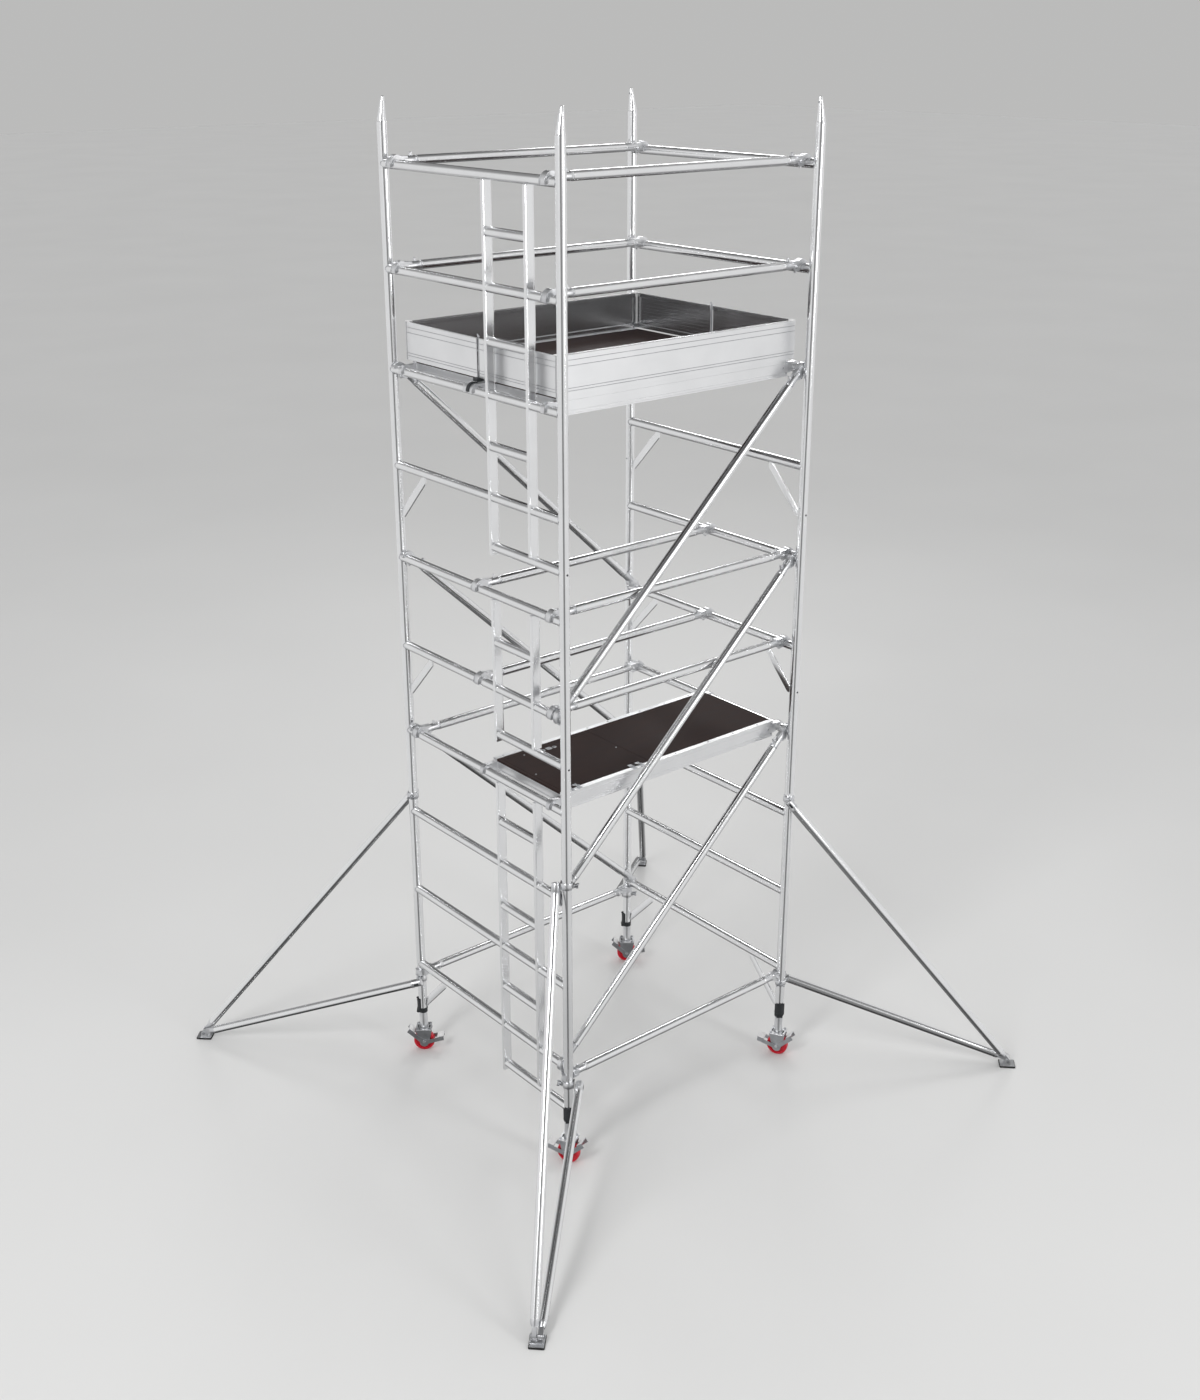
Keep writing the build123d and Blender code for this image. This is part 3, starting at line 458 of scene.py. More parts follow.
def end_frame(kind, level, x):
    """One welded end frame: posts, spigots, rungs, gussets and, at the ladder end, its ladder."""
    bottom, top = FRAME_LOW[level], FRAME_TOP[level]
    inward = 1 if x < 0 else -1
    count = round((top - bottom) / RUNG_PITCH)
    rungs = [top - TOP_TO_RUNG - RUNG_PITCH * i for i in range(count)]
    shape = Shape()
    for side in (-1, 1):
        post(shape, x, side * HALF_WIDTH, bottom, top, level != "base")
        spigot(shape, x, side * HALF_WIDTH, top, inward)
    near, far = STILES
    half = STILE_WIDTH / 2
    rung(shape, x, -HALF_WIDTH, HALF_WIDTH, rungs[0])
    if kind == "ladder":
        for z in rungs[1:]:
            rung(shape, x, -HALF_WIDTH, near - half, z)
            rung(shape, x, near + half, far - half, z)
            rung(shape, x, far + half, HALF_WIDTH, z)
        for z in rungs[:-1]:
            rung(shape, x, near + half, far - half, z - HALF_PITCH)
        lowest = rungs[-1] - HALF_PITCH
        rung(shape, x, -HALF_WIDTH, far - half, lowest)
        stile(shape, far, lowest - STILE_TAIL, rungs[0] - RUNG_R + 0.002)
        stile(shape, near, lowest + RUNG_R - 0.002, rungs[0] - RUNG_R + 0.002)
        gusset(shape, x, 1, rungs[-1])
    else:
        for z in rungs[1:]:
            rung(shape, x, -HALF_WIDTH, HALF_WIDTH, z)
        for side in (-1, 1):
            gusset(shape, x, side, rungs[-1])
    node = f"{kind}_frame_{level}"
    shape.finish(f"{node}_tubes", [ALUMINIUM, WELD, BLACK], "tower", "aluminium", [node], bevel=0.0)


# ---- Braces ---------------------------------------------------------------------------------
def claw(shape, place, width, grip, rise):
    """Cast claw: humped arch over the rung with its raised lip, round shank, rivets and lock button."""
    half = width / 2
    flat = place @ turn(90, "X")
    front = arc(0.033, 207, 150, 6)
    hump = arc(HUMP_R, 150, 55, 9, HUMP_CENTRE)
    body = front + hump + [(0.044, rise + 0.0220), (0.072, rise + 0.0200), (0.072, rise - 0.020)]
    body += [(0.060, -0.011), (0.040, -0.0135), (0.027, -0.0135)] + arc(grip, 0, 207, 16)
    shape.index = 1
    shape.prism(body, -half, half, flat)
    for side in (-1, 1):
        for inner, outer, proud in CLAW_LIPS:
            inner, outer = grip + inner, grip + outer
            lip = arc(outer, 196, 20, 14) + arc(inner, 20, 196, 14)
            shape.prism(lip, side * half, side * (half + proud), flat)
    reach = CLAW_LENGTH
    shank = [(0.0150, 0.040), (0.0205, 0.052), (0.0205, reach - 0.014), (0.0222, reach - 0.012)]
    shank += [(0.0222, reach - 0.002), (0.0212, reach)]
    lane = place @ move(0, 0, rise) @ turn(90, "Y")
    shape.turned(shank, lane)
    lock = place @ move(0.040, 0, -0.0225)
    shape.turned([(0.0070, 0), (0.0088, 0.0015), (0.0088, 0.007), (0.0100, 0.0095)], lock, segments=24)
    shape.index = 2
    for side in (-1, 1):
        pin = place @ move(reach - 0.007, side * 0.0216, rise) @ turn(-90 * side, "X")
        shape.turned([(0.0042, 0), (0.0042, 0.0010), (0.0026, 0.0018)], pin, segments=16)
        pin = place @ move(0.052, side * half, 0.004) @ turn(-90 * side, "X")
        shape.turned([(0.0056, 0), (0.0056, 0.0016), (0.0038, 0.0026)], pin, segments=16)
    shape.index = 0


def brace_ends(start, end, up):
    """Placements of a brace's two claws, rungs along their local Y."""
    line = (Vector(end) - Vector(start)).normalized()
    return basis(start, line, up), basis(end, -line, up)


def brace(shape, start, end, up, width, grip, rise):
    """Brace tube with a claw at each end."""
    ends = brace_ends(start, end, up)
    inner = [place @ Vector((CLAW_LENGTH - 0.001, 0, rise)) for place in ends]
    shape.tube(inner[0], inner[1], BRACE_R)
    for place in ends:
        claw(shape, place, width, grip, rise)


def trigger(shape, place, rise):
    """Curved release trigger on a claw's shank."""
    base = rise + 0.0208
    outline = [(0.090, base), (0.106, base), (0.1045, base + 0.006), (0.100, base + 0.0165)]
    outline += [(0.0975, base + 0.018), (0.0945, base + 0.0172), (0.0930, base + 0.012)]
    shape.prism(outline, -0.007, 0.007, place @ turn(90, "X"))


def level_braces(levels_and_sides):
    """End points of horizontal braces."""
    out = []
    for level, y in levels_and_sides:
        z = LEVEL[level]
        out.append(((-HALF_LENGTH, y, z), (HALF_LENGTH, y, z), (0, 0, 1)))
    return out


def base_brace(side):
    """End points of the brace clipped on the posts at one side."""
    low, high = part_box("base_braces")
    y, z = side * HALF_WIDTH, (low.z + high.z) / 2
    return (-HALF_LENGTH, y, z), (HALF_LENGTH, y, z), (0, -side, 0)


def diagonal(side, low, high):
    """End points of a diagonal brace, and its up direction."""
    y = side * (HALF_WIDTH - DIAGONAL_INSET)
    first, last = (low, high) if side < 0 else (high, low)
    start, end = (-HALF_LENGTH, y, LEVEL[first]), (HALF_LENGTH, y, LEVEL[last])
    line = Vector(end) - Vector(start)
    return start, end, (-line.z, 0, line.x)


def braces():
    """Every brace and trigger."""
    y = HALF_WIDTH - BRACE_INSET
    rails = level_braces([(level, side * y) for level in "AB" for side in (-1, 1)])
    middle = level_braces([(level, at) for level in "EF" for at in (-y, 0)] + [("G", y)])
    base = [base_brace(side) for side in (-1, 1)]
    near = [diagonal(-1, *pair) for pair in ("JG", "HE", "FC")]
    far = [diagonal(1, *pair) for pair in ("FC", "HE", "JG")]
    groups = {
        "guardrail_braces": (rails, CLAW_WIDTH, RUNG_GRIP, CLAW_RISE),
        "middle_braces": (middle, CLAW_WIDTH, RUNG_GRIP, CLAW_RISE),
        "base_braces": (base, CLAW_WIDTH, POST_GRIP, CLAW_RISE),
        "diagonal_braces": (near + far, DIAGONAL_CLAW, RUNG_GRIP, DIAGONAL_RISE),
    }
    for node, (members, *sizes) in groups.items():
        shape = Shape()
        for ends in members:
            brace(shape, *ends, *sizes)
        shape.finish(f"{node}_detail", [ALUMINIUM, CASTING, ZINC], "tower", "aluminium", [node])
    triggers = {"brace": (rails + middle + base, CLAW_RISE)}
    triggers["near_diagonal"] = (near, DIAGONAL_RISE)
    triggers["far_diagonal"] = (far, DIAGONAL_RISE)
    for kind, (members, rise) in triggers.items():
        for number, end_name in enumerate(("ladder_end", "span_end")):
            node = f"{kind}_triggers_{end_name}"
            shape = Shape()
            for ends in members:
                trigger(shape, brace_ends(*ends)[number], rise)
            shape.finish(f"{node}_detail", [CASTING], node, "trigger", [node])


# ---- Platforms ------------------------------------------------------------------------------
BEAM_END = 0.740
BEAM_TOP = 0.052
BEAM_LOW = -0.038
BEAM_WIDTH = 0.030
DECK_TOP = 0.051
PLATFORM_OUTER = 0.600
PLATFORM_INNER = 0.008
CROSS_AT = (-0.722, -0.123, 0.155, 0.440, 0.722)
PLY_THICK = 0.012
CROSS_DEPTH = 0.050
CROSS_FLANGE = 0.004
DECK_RIVET = ((0.0058, 0), (0.0050, 0.0012), (0.0024, 0.0022))


def grooved(heights, face, depth, low, high):
    """Points up one face of an extrusion with square grooves at the given heights."""
    points = [(face, low)]
    for height in heights:
        points += [(face, height - 0.0010), (face - depth, height - 0.0007)]
        points += [(face - depth, height + 0.0007), (face, height + 0.0010)]
    return points + [(face, high)]


def beam(shape, y, z, outward):
    """Side beam: extruded with a bead along its foot and two drawn lines."""
    half = BEAM_WIDTH / 2
    outer = grooved([-0.018, 0.030], half, 0.0016, BEAM_LOW + 0.008, BEAM_TOP - 0.001)
    outer = [(half + 0.0012, BEAM_LOW), (half + 0.0012, BEAM_LOW + 0.007)] + outer
    inner = [(half - 0.001, BEAM_TOP), (-half, BEAM_TOP), (-half, BEAM_LOW)]
    outline = [(y + outward * p, z + q) for p, q in outer + inner]
    shape.prism(outline, -BEAM_END, BEAM_END, ALONG_X)


def hook(shape, end, y, z):
    """Cast hook from a beam's end over the rung, with its rivets."""
    place = move(end * HALF_LENGTH, y, z) @ (Matrix.Identity(4) if end < 0 else turn(180, "Z"))
    outline = arc(0.034, 200, 70, 14) + [(0.062, 0.034), (0.062, -0.020), (0.040, -0.020)]
    outline += [(0.0262, -0.010)] + arc(RUNG_GRIP, 0, 200, 14)
    shape.index = 1
    shape.prism(outline, -0.014, 0.014, place @ turn(90, "X"))
    shape.prism([(0.034, -0.012), (0.085, -0.012), (0.085, 0.012), (0.034, 0.012)], -0.014, 0.030, place)
    shape.index = 2
    for x, height in ((0.070, -0.022), (0.070, 0.036), (0.092, 0.008)):
        for side in (-1, 1):
            spot = place @ move(x, side * 0.0155, height) @ turn(-90 * side, "X")
            shape.turned([(0.0050, 0), (0.0046, 0.0014), (0.0024, 0.0024)], spot, segments=16)
    shape.index = 0


def platform_frame(node, side, level, hatch):
    """Beams, hooks, cross members, end channels and deck rivets of one platform."""
    z = LEVEL[level]
    outer = side * (PLATFORM_OUTER - BEAM_WIDTH / 2)
    inner = side * (PLATFORM_INNER + BEAM_WIDTH / 2)
    reach = (side * (PLATFORM_OUTER - BEAM_WIDTH), side * (PLATFORM_INNER + BEAM_WIDTH))
    shape = Shape()
    beam(shape, outer, z, side)
    beam(shape, inner, z, -side)
    for end in (-1, 1):
        for y in (outer, inner):
            hook(shape, end, y, z)
    top = z + DECK_TOP - PLY_THICK
    foot = top - CROSS_DEPTH
    for x in CROSS_AT:
        shape.block((x - 0.013, reach[0], foot + CROSS_FLANGE), (x + 0.013, reach[1], top))
        shape.block((x - 0.019, reach[0], foot), (x + 0.019, reach[1], foot + CROSS_FLANGE))
    shape.index = 2
    rivets = [(x, y) for x in (0.030, 0.265, 0.450, 0.633) for y in (outer, inner)]
    rivets += [(-0.115, inner), (-0.690, inner), (-0.690, outer)]
    for x, y in rivets:
        shape.turned(DECK_RIVET, move(x, y, z + BEAM_TOP), segments=16)
    if hatch:
        hinge_leaves(shape, z, -1)
    shape.finish(f"{node}_detail", [EXTRUSION, CASTING, ZINC], "tower", "aluminium", [node])


HATCH_EDGE = -0.567
HINGE_Y = -0.570
HINGE_RISE = 0.0555
HINGES = (-0.652, -0.233)
HINGE_LENGTH = 0.076
HINGE_RIVET = ((0.0040, 0), (0.0034, 0.0010), (0.0015, 0.0016))
KNUCKLE_R = 0.0032
LEAF = 0.028
LEAF_THICK = 0.002
FINGER_HOLES = (-0.484, -0.410)
FINGER_RIM = (
    (0.0122, 0), (0.0118, 0.0010), (0.0092, 0.0012), (0.0084, 0.0002), (0.0084, -0.010), (0.0094, -0.010),
)
HATCH_RIVET = ((0.0050, 0), (0.0042, 0.0010), (0.0020, 0.0018))
HATCH_RIVETS = ((-0.160, -0.321), (-0.700, -0.321), (-0.300, -0.090), (-0.600, -0.090))


def hinge_leaves(shape, z, side):
    """One side of the hatch's hinges: outer knuckles on the beam or the middle one on the hatch."""
    third = HINGE_LENGTH / 3
    half = third / 2 - 0.0003
    seat = z + BEAM_TOP
    leaf = z + DECK_TOP
    axis = z + HINGE_RISE
    for centre in HINGES:
        for part in (-1, 1) if side < 0 else (0,):
            x = centre + part * third
            shape.rod((x - half, HINGE_Y, axis), (x + half, HINGE_Y, axis), KNUCKLE_R, 0.0003, 20)
            if side < 0:
                shape.block((x - half, HINGE_Y - LEAF, seat), (x + half, HINGE_Y, seat + LEAF_THICK))
            else:
                low = (x - half, HATCH_EDGE - 0.002, leaf + LEAF_THICK)
                shape.block(low, (x + half, HATCH_EDGE + 0.003, axis))
        if side > 0:
            low = (centre - 0.036, HATCH_EDGE, leaf)
            shape.block(low, (centre + 0.036, HATCH_EDGE + LEAF, leaf + LEAF_THICK))
        y = HINGE_Y + side * 0.017
        low = (seat if side < 0 else leaf) + LEAF_THICK
        for dx in (-0.026, 0.026):
            shape.turned(HINGE_RIVET, move(centre + dx, y, low), segments=14)


def hatches():
    """Hinges, latch and finger-hole rims of the two hatches; the ply panels are the CAD's own."""
    for label, level in (("lower", "G"), ("upper", "C")):
        z = LEVEL[level]
        top = z + DECK_TOP
        shape = Shape()
        hinge_leaves(shape, z, 1)
        for x in FINGER_HOLES:
            shape.turned(FINGER_RIM, move(x, -0.105, top), loop=True, segments=28)
        for x, y in HATCH_RIVETS:
            shape.turned(HATCH_RIVET, move(x, y, top), segments=16)
        shape.finish(f"{label}_hatch_fittings", [ZINC], f"{label}_hatch", "steel", bevel=0.0003)
        latch = f"{label}_hatch_latch"
        low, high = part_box(latch)
        shape = Shape(move((low.x + high.x) / 2, (low.y + high.y) / 2, low.z))
        shape.prism(rounded_box(0.032, 0.028, 0.004), 0, 0.002)
        for y in (-0.005, 0.0, 0.005):
            shape.prism(rounded_box(0.022, 0.0018, 0.0008), 0.002, 0.0048, move(0, y, 0))
        shape.finish(f"{latch}_detail", [ZINC], latch, "steel", [latch], bevel=0.0003)


# ---- Toe boards -----------------------------------------------------------------------------
TOE_X = 0.767
TOE_Y = 0.615
TOE_LOW = 0.054
TOE_HIGH = 0.244
TOE_THICK = 0.022
TOE_END = 0.009
TOE_SKIN = 0.0032
TOE_GAP = (-0.016, 0.004)
TOE_RIBS = (0.146, 0.128, 0.110, 0.092, 0.074, 0.056, 0.038)


def toe_profiles(thick, ribs):
    """Outlines of a toe board's outer skin, with drawn lines, and of its ribbed inner side with lips."""
    height = TOE_HIGH - TOE_LOW
    outer = [(0, 0)]
    for line in toe_lines():
        outer += [(0, line - 0.0014), (0.0018, line - 0.0008)]
        outer += [(0.0018, line + 0.0008), (0, line + 0.0014)]
    outer += [(0, height - 0.003), (0.003, height), (TOE_SKIN, height), (TOE_SKIN, 0)]
    web = max(thick * 0.5, 0.005)
    inner = [(TOE_SKIN, height), (thick - 0.003, height), (thick, height - 0.003)]
    inner += [(thick, height - 0.020), (web, height - 0.024)]
    for line in ribs:
        inner += [(web, line + 0.0040), (web - 0.0012, line + 0.0034)]
        inner += [(web - 0.0012, line + 0.0006), (web, line)]
    return outer, inner + [(web, 0.024), (thick, 0.020), (thick, 0), (TOE_SKIN, 0)]


def toe_lines():
    """Heights of the drawn lines on a toe board's outer face."""
    height = TOE_HIGH - TOE_LOW
    return (0.022, 0.035, height - 0.053, height - 0.027)


def toe_boards():
    """Ring of toe boards with their corner strips, clips and centre pins."""
    z = LEVEL["C"] + TOE_LOW
    shape = Shape()
    for side in (-1, 1):
        # The inner profile takes the darker painted-shade copy of the extrusion.
        for shape.index, profile in zip((0, 3), toe_profiles(TOE_THICK, ())):
            shape.prism([(side * (TOE_Y - p), z + q) for p, q in profile], -TOE_X, TOE_X, ALONG_X)
        # Dark zinc-coloured strips laid in the bottoms of the drawn lines: painted shade in the grooves.
        shape.index = 2
        for line in toe_lines():
            low = (-TOE_X + 0.001, side * (TOE_Y - 0.0008), z + line - 0.0007)
            shape.block(low, (TOE_X - 0.001, side * (TOE_Y - 0.003), z + line + 0.0007))
        shape.index = 1
        for end in (-1, 1):
            x = end * TOE_X
            inner = side * (TOE_Y - TOE_THICK - 0.0045)
            cap = z + TOE_HIGH - TOE_LOW
            low = (x, side * (TOE_Y + 0.0012), cap - 0.004)
            shape.block(low, (x - end * 0.026, inner, cap + 0.0035))
            low = (x - end * 0.010, side * (TOE_Y - TOE_THICK), z)
            shape.block(low, (x - end * 0.0215, inner, cap))
        shape.index = 0
    finishes = [EXTRUSION, LABEL, ZINC, SHADED_INNER_FACE]
    shape.finish("toe_board_sides_detail", finishes, "tower", "toe_board", ["toe_board_sides"])
    shape = Shape()
    reach = TOE_Y - 0.012
    for end in (-1, 1):
        for y0, y1 in ((-reach, TOE_GAP[0]), (TOE_GAP[1], reach)):
            # The inner profile takes the darker painted-shade copy of the extrusion.
            for shape.index, profile in zip((0, 2), toe_profiles(TOE_END, TOE_RIBS)):
                shape.prism([(end * (TOE_X + 0.0006 - p), z + q) for p, q in profile], y0, y1, ALONG_Y)
            # Dark zinc-coloured strips laid in the bottoms of the drawn lines: painted shade in the
            # grooves.
            shape.index = 1
            for line in toe_lines():
                low = (end * (TOE_X - 0.0002), y0 + 0.001, z + line - 0.0007)
                shape.block(low, (end * (TOE_X - 0.003), y1 - 0.001, z + line + 0.0007))
    finishes = [EXTRUSION, ZINC, SHADED_INNER_FACE]
    shape.finish("toe_board_ends_detail", finishes, "tower", "toe_board", ["toe_board_ends"], bevel=0.0005)
    toe_board_fittings(z)


def toe_board_fittings(z):
    """Centre pins with their bent tops, and dark clips where the boards stand on the platforms."""
    shape = Shape()
    middle = sum(TOE_GAP) / 2
    for end in (-1, 1):
        x = end * (TOE_X - 0.005)
        shape.index = 0
        shape.rod((x, middle, z), (x, middle, z + 0.198), 0.0045, 0.001, 16)
        shape.rod((x, middle, z + 0.195), (x, middle + 0.010, z + 0.207), 0.0040, 0.001, 16)
        shape.rod((x, middle, z + 0.030), (x, middle, z + 0.060), 0.0058, 0.001, 16)
        for side in (-1, 1):
            y = side * (TOE_Y - TOE_THICK)
            low = (end * (TOE_X - TOE_END), y, z)
            shape.block(low, (end * (TOE_X - 0.036), y - side * 0.005, z + 0.024))
        shape.index = 1
        clip = arc(0.039, 10, 185, 14) + arc(0.0345, 185, 10, 14)
        place = move(end * HALF_LENGTH, middle, LEVEL["C"]) @ turn(0 if end < 0 else 180, "Z")
        shape.prism(clip, -0.010, 0.010, place @ turn(90, "X"))
        shape.block((0.010, -0.016, 0.040), (0.055, 0.016, 0.056), place)
    node = "toe_board_fittings"
    shape.finish(f"{node}_detail", [ZINC, BLACK], "tower", "black_plastic", [node])


# ---- Adjustable legs and castors ------------------------------------------------------------
WHEEL_R = 0.0625
FACES = {name: -62.0 if sy < 0 else -39.7 for name, (sx, sy) in CORNERS.items()}
LOW_SIDE = {name: sy for name, (sx, sy) in CORNERS.items()}
LOCK_FACES = {name: 232.0 if sy < 0 else 143.0 for name, (sx, sy) in CORNERS.items()}
ROCKER_TILT = 14.0
PEDAL_ANGLE = 27.8
PEDAL_REACH = 0.104
AXLE_R = 0.006
PLATE_LOW = 0.148
PLATE_TOP = 0.153
LEG_TOP = 0.720
LEG_R = 0.0235
LOCK_PIN = (0.032, 0.268)
LOCK_TOP = 0.352
LOCK_RIBS = (0.290, 0.340)
COLLAR_LOW = 0.260


def lock_place(name, sx, sy):
    """Placement of a leg lock: the post axis at X = Y = 0 and +X out towards the lever."""
    return move(sx * HALF_LENGTH, sy * HALF_WIDTH, 0) @ turn(LOCK_FACES[name], "Z")


def leg_collars():
    """Black collars under the posts, each with the ears of its lever and a short lip behind."""
    shape = Shape()
    pin_x, pin_z = LOCK_PIN
    ring = [(0.0248, 0), (0.0264, 0.0015), (0.0264, 0.020), (0.0274, 0.022), (0.0274, 0.0315)]
    ring += [(0.0268, 0.0325), (0.0256, 0.0325), (0.0256, 0.0272), (0.0239, 0.0272), (0.0239, 0)]
    plate = [(0.020, COLLAR_LOW), (pin_x, COLLAR_LOW)] + arc(0.0065, -70, 100, 8, LOCK_PIN)
    plate += [(0.020, pin_z + 0.012)]
    lip = arc(0.0273, 150, 210, 8) + arc(0.0257, 210, 150, 8)
    for name, (sx, sy) in CORNERS.items():
        place = lock_place(name, sx, sy)
        shape.turned(ring, place @ move(0, 0, COLLAR_LOW), loop=True)
        shape.prism(lip, COLLAR_LOW + 0.030, COLLAR_LOW + 0.052, place)
        for ear in (-1, 1):
            shape.prism(plate, -0.0025, 0.0025, place @ move(0, ear * 0.0145, 0) @ turn(90, "X"))
    shape.finish("leg_collars_detail", [BLACK], "tower", "black_plastic", ["leg_collars"])


def leg_lock(name, sx, sy):
    """Black lock lever: a shell round the post above its knuckle, with two ribs and a thumb nub."""
    shape = Shape(lock_place(name, sx, sy))
    pin_x, pin_z = LOCK_PIN
    shell = arc(0.0335, -60, 60, 14) + arc(0.0285, 60, -60, 14)
    shape.prism(shell, pin_z + 0.0085, LOCK_TOP)
    shape.prism(arc(0.0054, 0, 345, 20, LOCK_PIN), -0.0117, 0.0117, turn(90, "X"))
    shape.block((0.029, -0.0117, pin_z), (0.0365, 0.0117, pin_z + 0.012))
    rib = arc(0.0348, -54, 54, 14) + arc(0.0330, 54, -54, 14)
    for z in LOCK_RIBS:
        shape.prism(rib, z - 0.0015, z + 0.0015)
    nub = [(0.0060, 0), (0.0060, 0.005), (0.0048, 0.0075), (0.0020, 0.0082)]
    shape.turned(nub, move(0.031, 0, LOCK_TOP - 0.0005), segments=20)
    body = f"leg_lock_{name}"
    shape.finish(f"{body}_detail", [BLACK], body, "black_plastic", [body])


def adjustable_leg(name, sx, sy):
    """Leg tube welded to its bolted castor plate, with black patches of painted shade where its slots are.
    """
    place = move(sx * HALF_LENGTH, sy * HALF_WIDTH, 0)
    shape = Shape(place)
    shape.tube((0, 0, PLATE_TOP), (0, 0, LEG_TOP), LEG_R, 0.0035)
    shape.index = 1
    bead = [(0.0232, PLATE_TOP), (0.0290, PLATE_TOP), (0.0272, 0.157), (0.0236, 0.159)]
    shape.turned(bead, loop=True)
    shape.index = 0
    plate = turn(FACES[name], "Z")
    outline = rounded_box(0.090, 0.090, 0.008)
    shape.prism(outline, PLATE_LOW, PLATE_TOP, plate)
    # The slots are not cut: black patches just proud of the plate are painted shade in their place.
    shape.index = 2
    for side in (-1, 1):
        slot = [(side * 0.033 + px, py) for px, py in rounded_box(0.0076, 0.030, 0.0037)]
        shape.prism(slot, 0.1505, 0.1534, plate)
        for y in (-0.033, 0.033):
            shape.index = 1
            shape.prism(hexagon(0.0078), PLATE_TOP, 0.1585, plate @ move(side * 0.033, y, 0))
            shape.index = 2
    body = f"adjustable_leg_{name}"
    shape.finish(f"{body}_detail", [CASTING, ZINC, BLACK], body, "steel", [body])


def castor_fork(name, place):
    """Pressed fork: swivel head, two tapered side plates, axle bolt and nuts."""
    shape = Shape(place)
    shape.prism(rounded_box(0.095, 0.052, 0.006), 0.142, 0.1477)
    shape.turned([(0.030, 0), (0.031, 0.001), (0.031, 0.0055), (0.030, 0.006)], move(0, 0, 0.1365))
    flat = turn(90, "X")
    for side in (-1, 1):
        outline = [(-0.0475, 0.1425), (-0.0475, 0.134)]
        outline += arc(0.026, 200, 340, 12, (0, 0.052)) + [(0.0475, 0.134), (0.0475, 0.1425)]
        low, high = sorted((-side * 0.023, -side * 0.026))
        shape.prism(outline, low, high, flat)
    shape.index = 1
    shape.rod((0, -0.0303, WHEEL_R), (0, 0.0303, WHEEL_R), AXLE_R, 0.0005, 20)
    for side in (-1, 1):
        low, high = sorted((-side * 0.0303, -side * 0.0350))
        shape.prism(hexagon(0.0100, WHEEL_R), low, high, flat)
    body = f"castor_fork_{name}"
    shape.finish(f"{body}_detail", [ZINC, CASTING], body, "steel", [body])


def castor_wheel(name, place):
    """Red wheel: crowned tread with a parting line, dished web and hub."""
    shape = Shape(place @ move(0, 0, WHEEL_R) @ turn(90, "X"))
    tread = [(0.0560, -0.020), (0.0600, -0.0185), (0.0618, -0.014), (0.0625, -0.006), (0.0625, -0.0008)]
    tread += [(0.0621, 0.0)] + [(r, -h) for r, h in reversed(tread)]
    side = [(0.0480, 0.020), (0.0465, 0.013), (0.0210, 0.0125), (0.0190, 0.020)]
    side += [(0.0100, 0.0205), (0.0063, 0.0200)]
    mirror = [(r, -h) for r, h in reversed(side)]
    shape.turned(tread + side + mirror, loop=True, segments=64)
    body = f"castor_wheel_{name}"
    shape.finish(f"{body}_detail", [RED], body, "wheel", [body], bevel=0.0)


def brake_pedal(name, place):
    """Brake rocker outside the fork: two V-shaped plates and two pale pedals."""
    shape = Shape(place @ move(0, 0, WHEEL_R) @ turn(LOW_SIDE[name] * ROCKER_TILT, "Y"))
    flat = turn(90, "X")
    for side in (-1, 1):
        low, high = sorted((-side * 0.0270, -side * 0.0300))
        arm = arc(0.0195, 242, 298, 8) + [(0.1130, 0.0405), (0.1055, 0.0600), (0.1030, 0.0622)]
        arm += [(0.0, 0.0080), (-0.1030, 0.0622), (-0.1055, 0.0600), (-0.1130, 0.0405)]
        shape.prism(arm, low, high, flat)
    for end in (-1, 1):
        angle = -PEDAL_ANGLE if end > 0 else PEDAL_ANGLE - 180
        top = 0.007 if end > 0 else -0.011
        pad = turn(angle, "Y") @ move(PEDAL_REACH, 0, 0)
        shape.index = 0
        shape.prism(rounded_box(0.042, 0.0604, 0.004), top, top + 0.004, pad)
        shape.index = 1
        face = (top + 0.004, top + 0.0048) if end > 0 else (top - 0.0008, top)
        shape.prism(rounded_box(0.040, 0.058, 0.003), *face, pad)
    body = f"brake_pedal_{name}"
    shape.finish(f"{body}_detail", [ZINC, LABEL], body, "steel", [body])


def legs_and_castors():
    """Four adjustable legs with everything under them."""
    leg_collars()
    for name, (sx, sy) in CORNERS.items():
        place = move(sx * HALF_LENGTH, sy * HALF_WIDTH, 0) @ turn(FACES[name], "Z")
        leg_lock(name, sx, sy)
        adjustable_leg(name, sx, sy)
        castor_fork(name, place)
        castor_wheel(name, place)
        brake_pedal(name, place)


# ---- Stabilisers ----------------------------------------------------------------------------
REACH = 1.357
FOOT_Z = 0.039
ARM_R = 0.023
FOOT_OFFSET = 0.015
ARMS = ((-1, 0.056, 1.690), (1, 0.060, 0.496))
CLAMP_HALF = 0.018
CLAMP_LUG = 0.0328


def post_clamp(shape, side, z):
    """Coupler round the post with the lug of its arm and a pair of bolted ears."""
    half = CLAMP_HALF
    ring = [(0.0257, -half), (0.0300, -half), (0.0318, -half + 0.003), (0.0318, half - 0.003)]
    shape.turned(ring + [(0.0300, half), (0.0257, half)], move(0, 0, z), loop=True)
    shape.block((-half, side * 0.0255, z - half), (half, side * CLAMP_LUG, z + half))
    shape.block((-0.012, -side * 0.0305, z - 0.010), (-0.002, -side * 0.0395, z + 0.010))
    shape.block((0.002, -side * 0.0305, z - 0.010), (0.012, -side * 0.0395, z + 0.010))


def wing_nut(shape, side, z):
    """Wing nut on the clamp's closing bolt, opposite the arm."""
    place = move(0, -side * 0.0375, z) @ turn(90 * side, "X")
    shape.turned([(0.0130, 0), (0.0130, 0.0022), (0.0110, 0.003), (0.0085, 0.015), (0.0060, 0.0155)], place)
    wing = [(0.006, 0.003), (0.012, 0.004), (0.0235, 0.012), (0.0245, 0.021)]
    wing += [(0.0205, 0.024), (0.0160, 0.020), (0.011, 0.0135), (0.006, 0.012)]
    for flip in (-1, 1):
        lie = place @ turn(90, "X")
        shape.prism([(flip * p, q) for p, q in wing], -0.0028, 0.0028, lie)


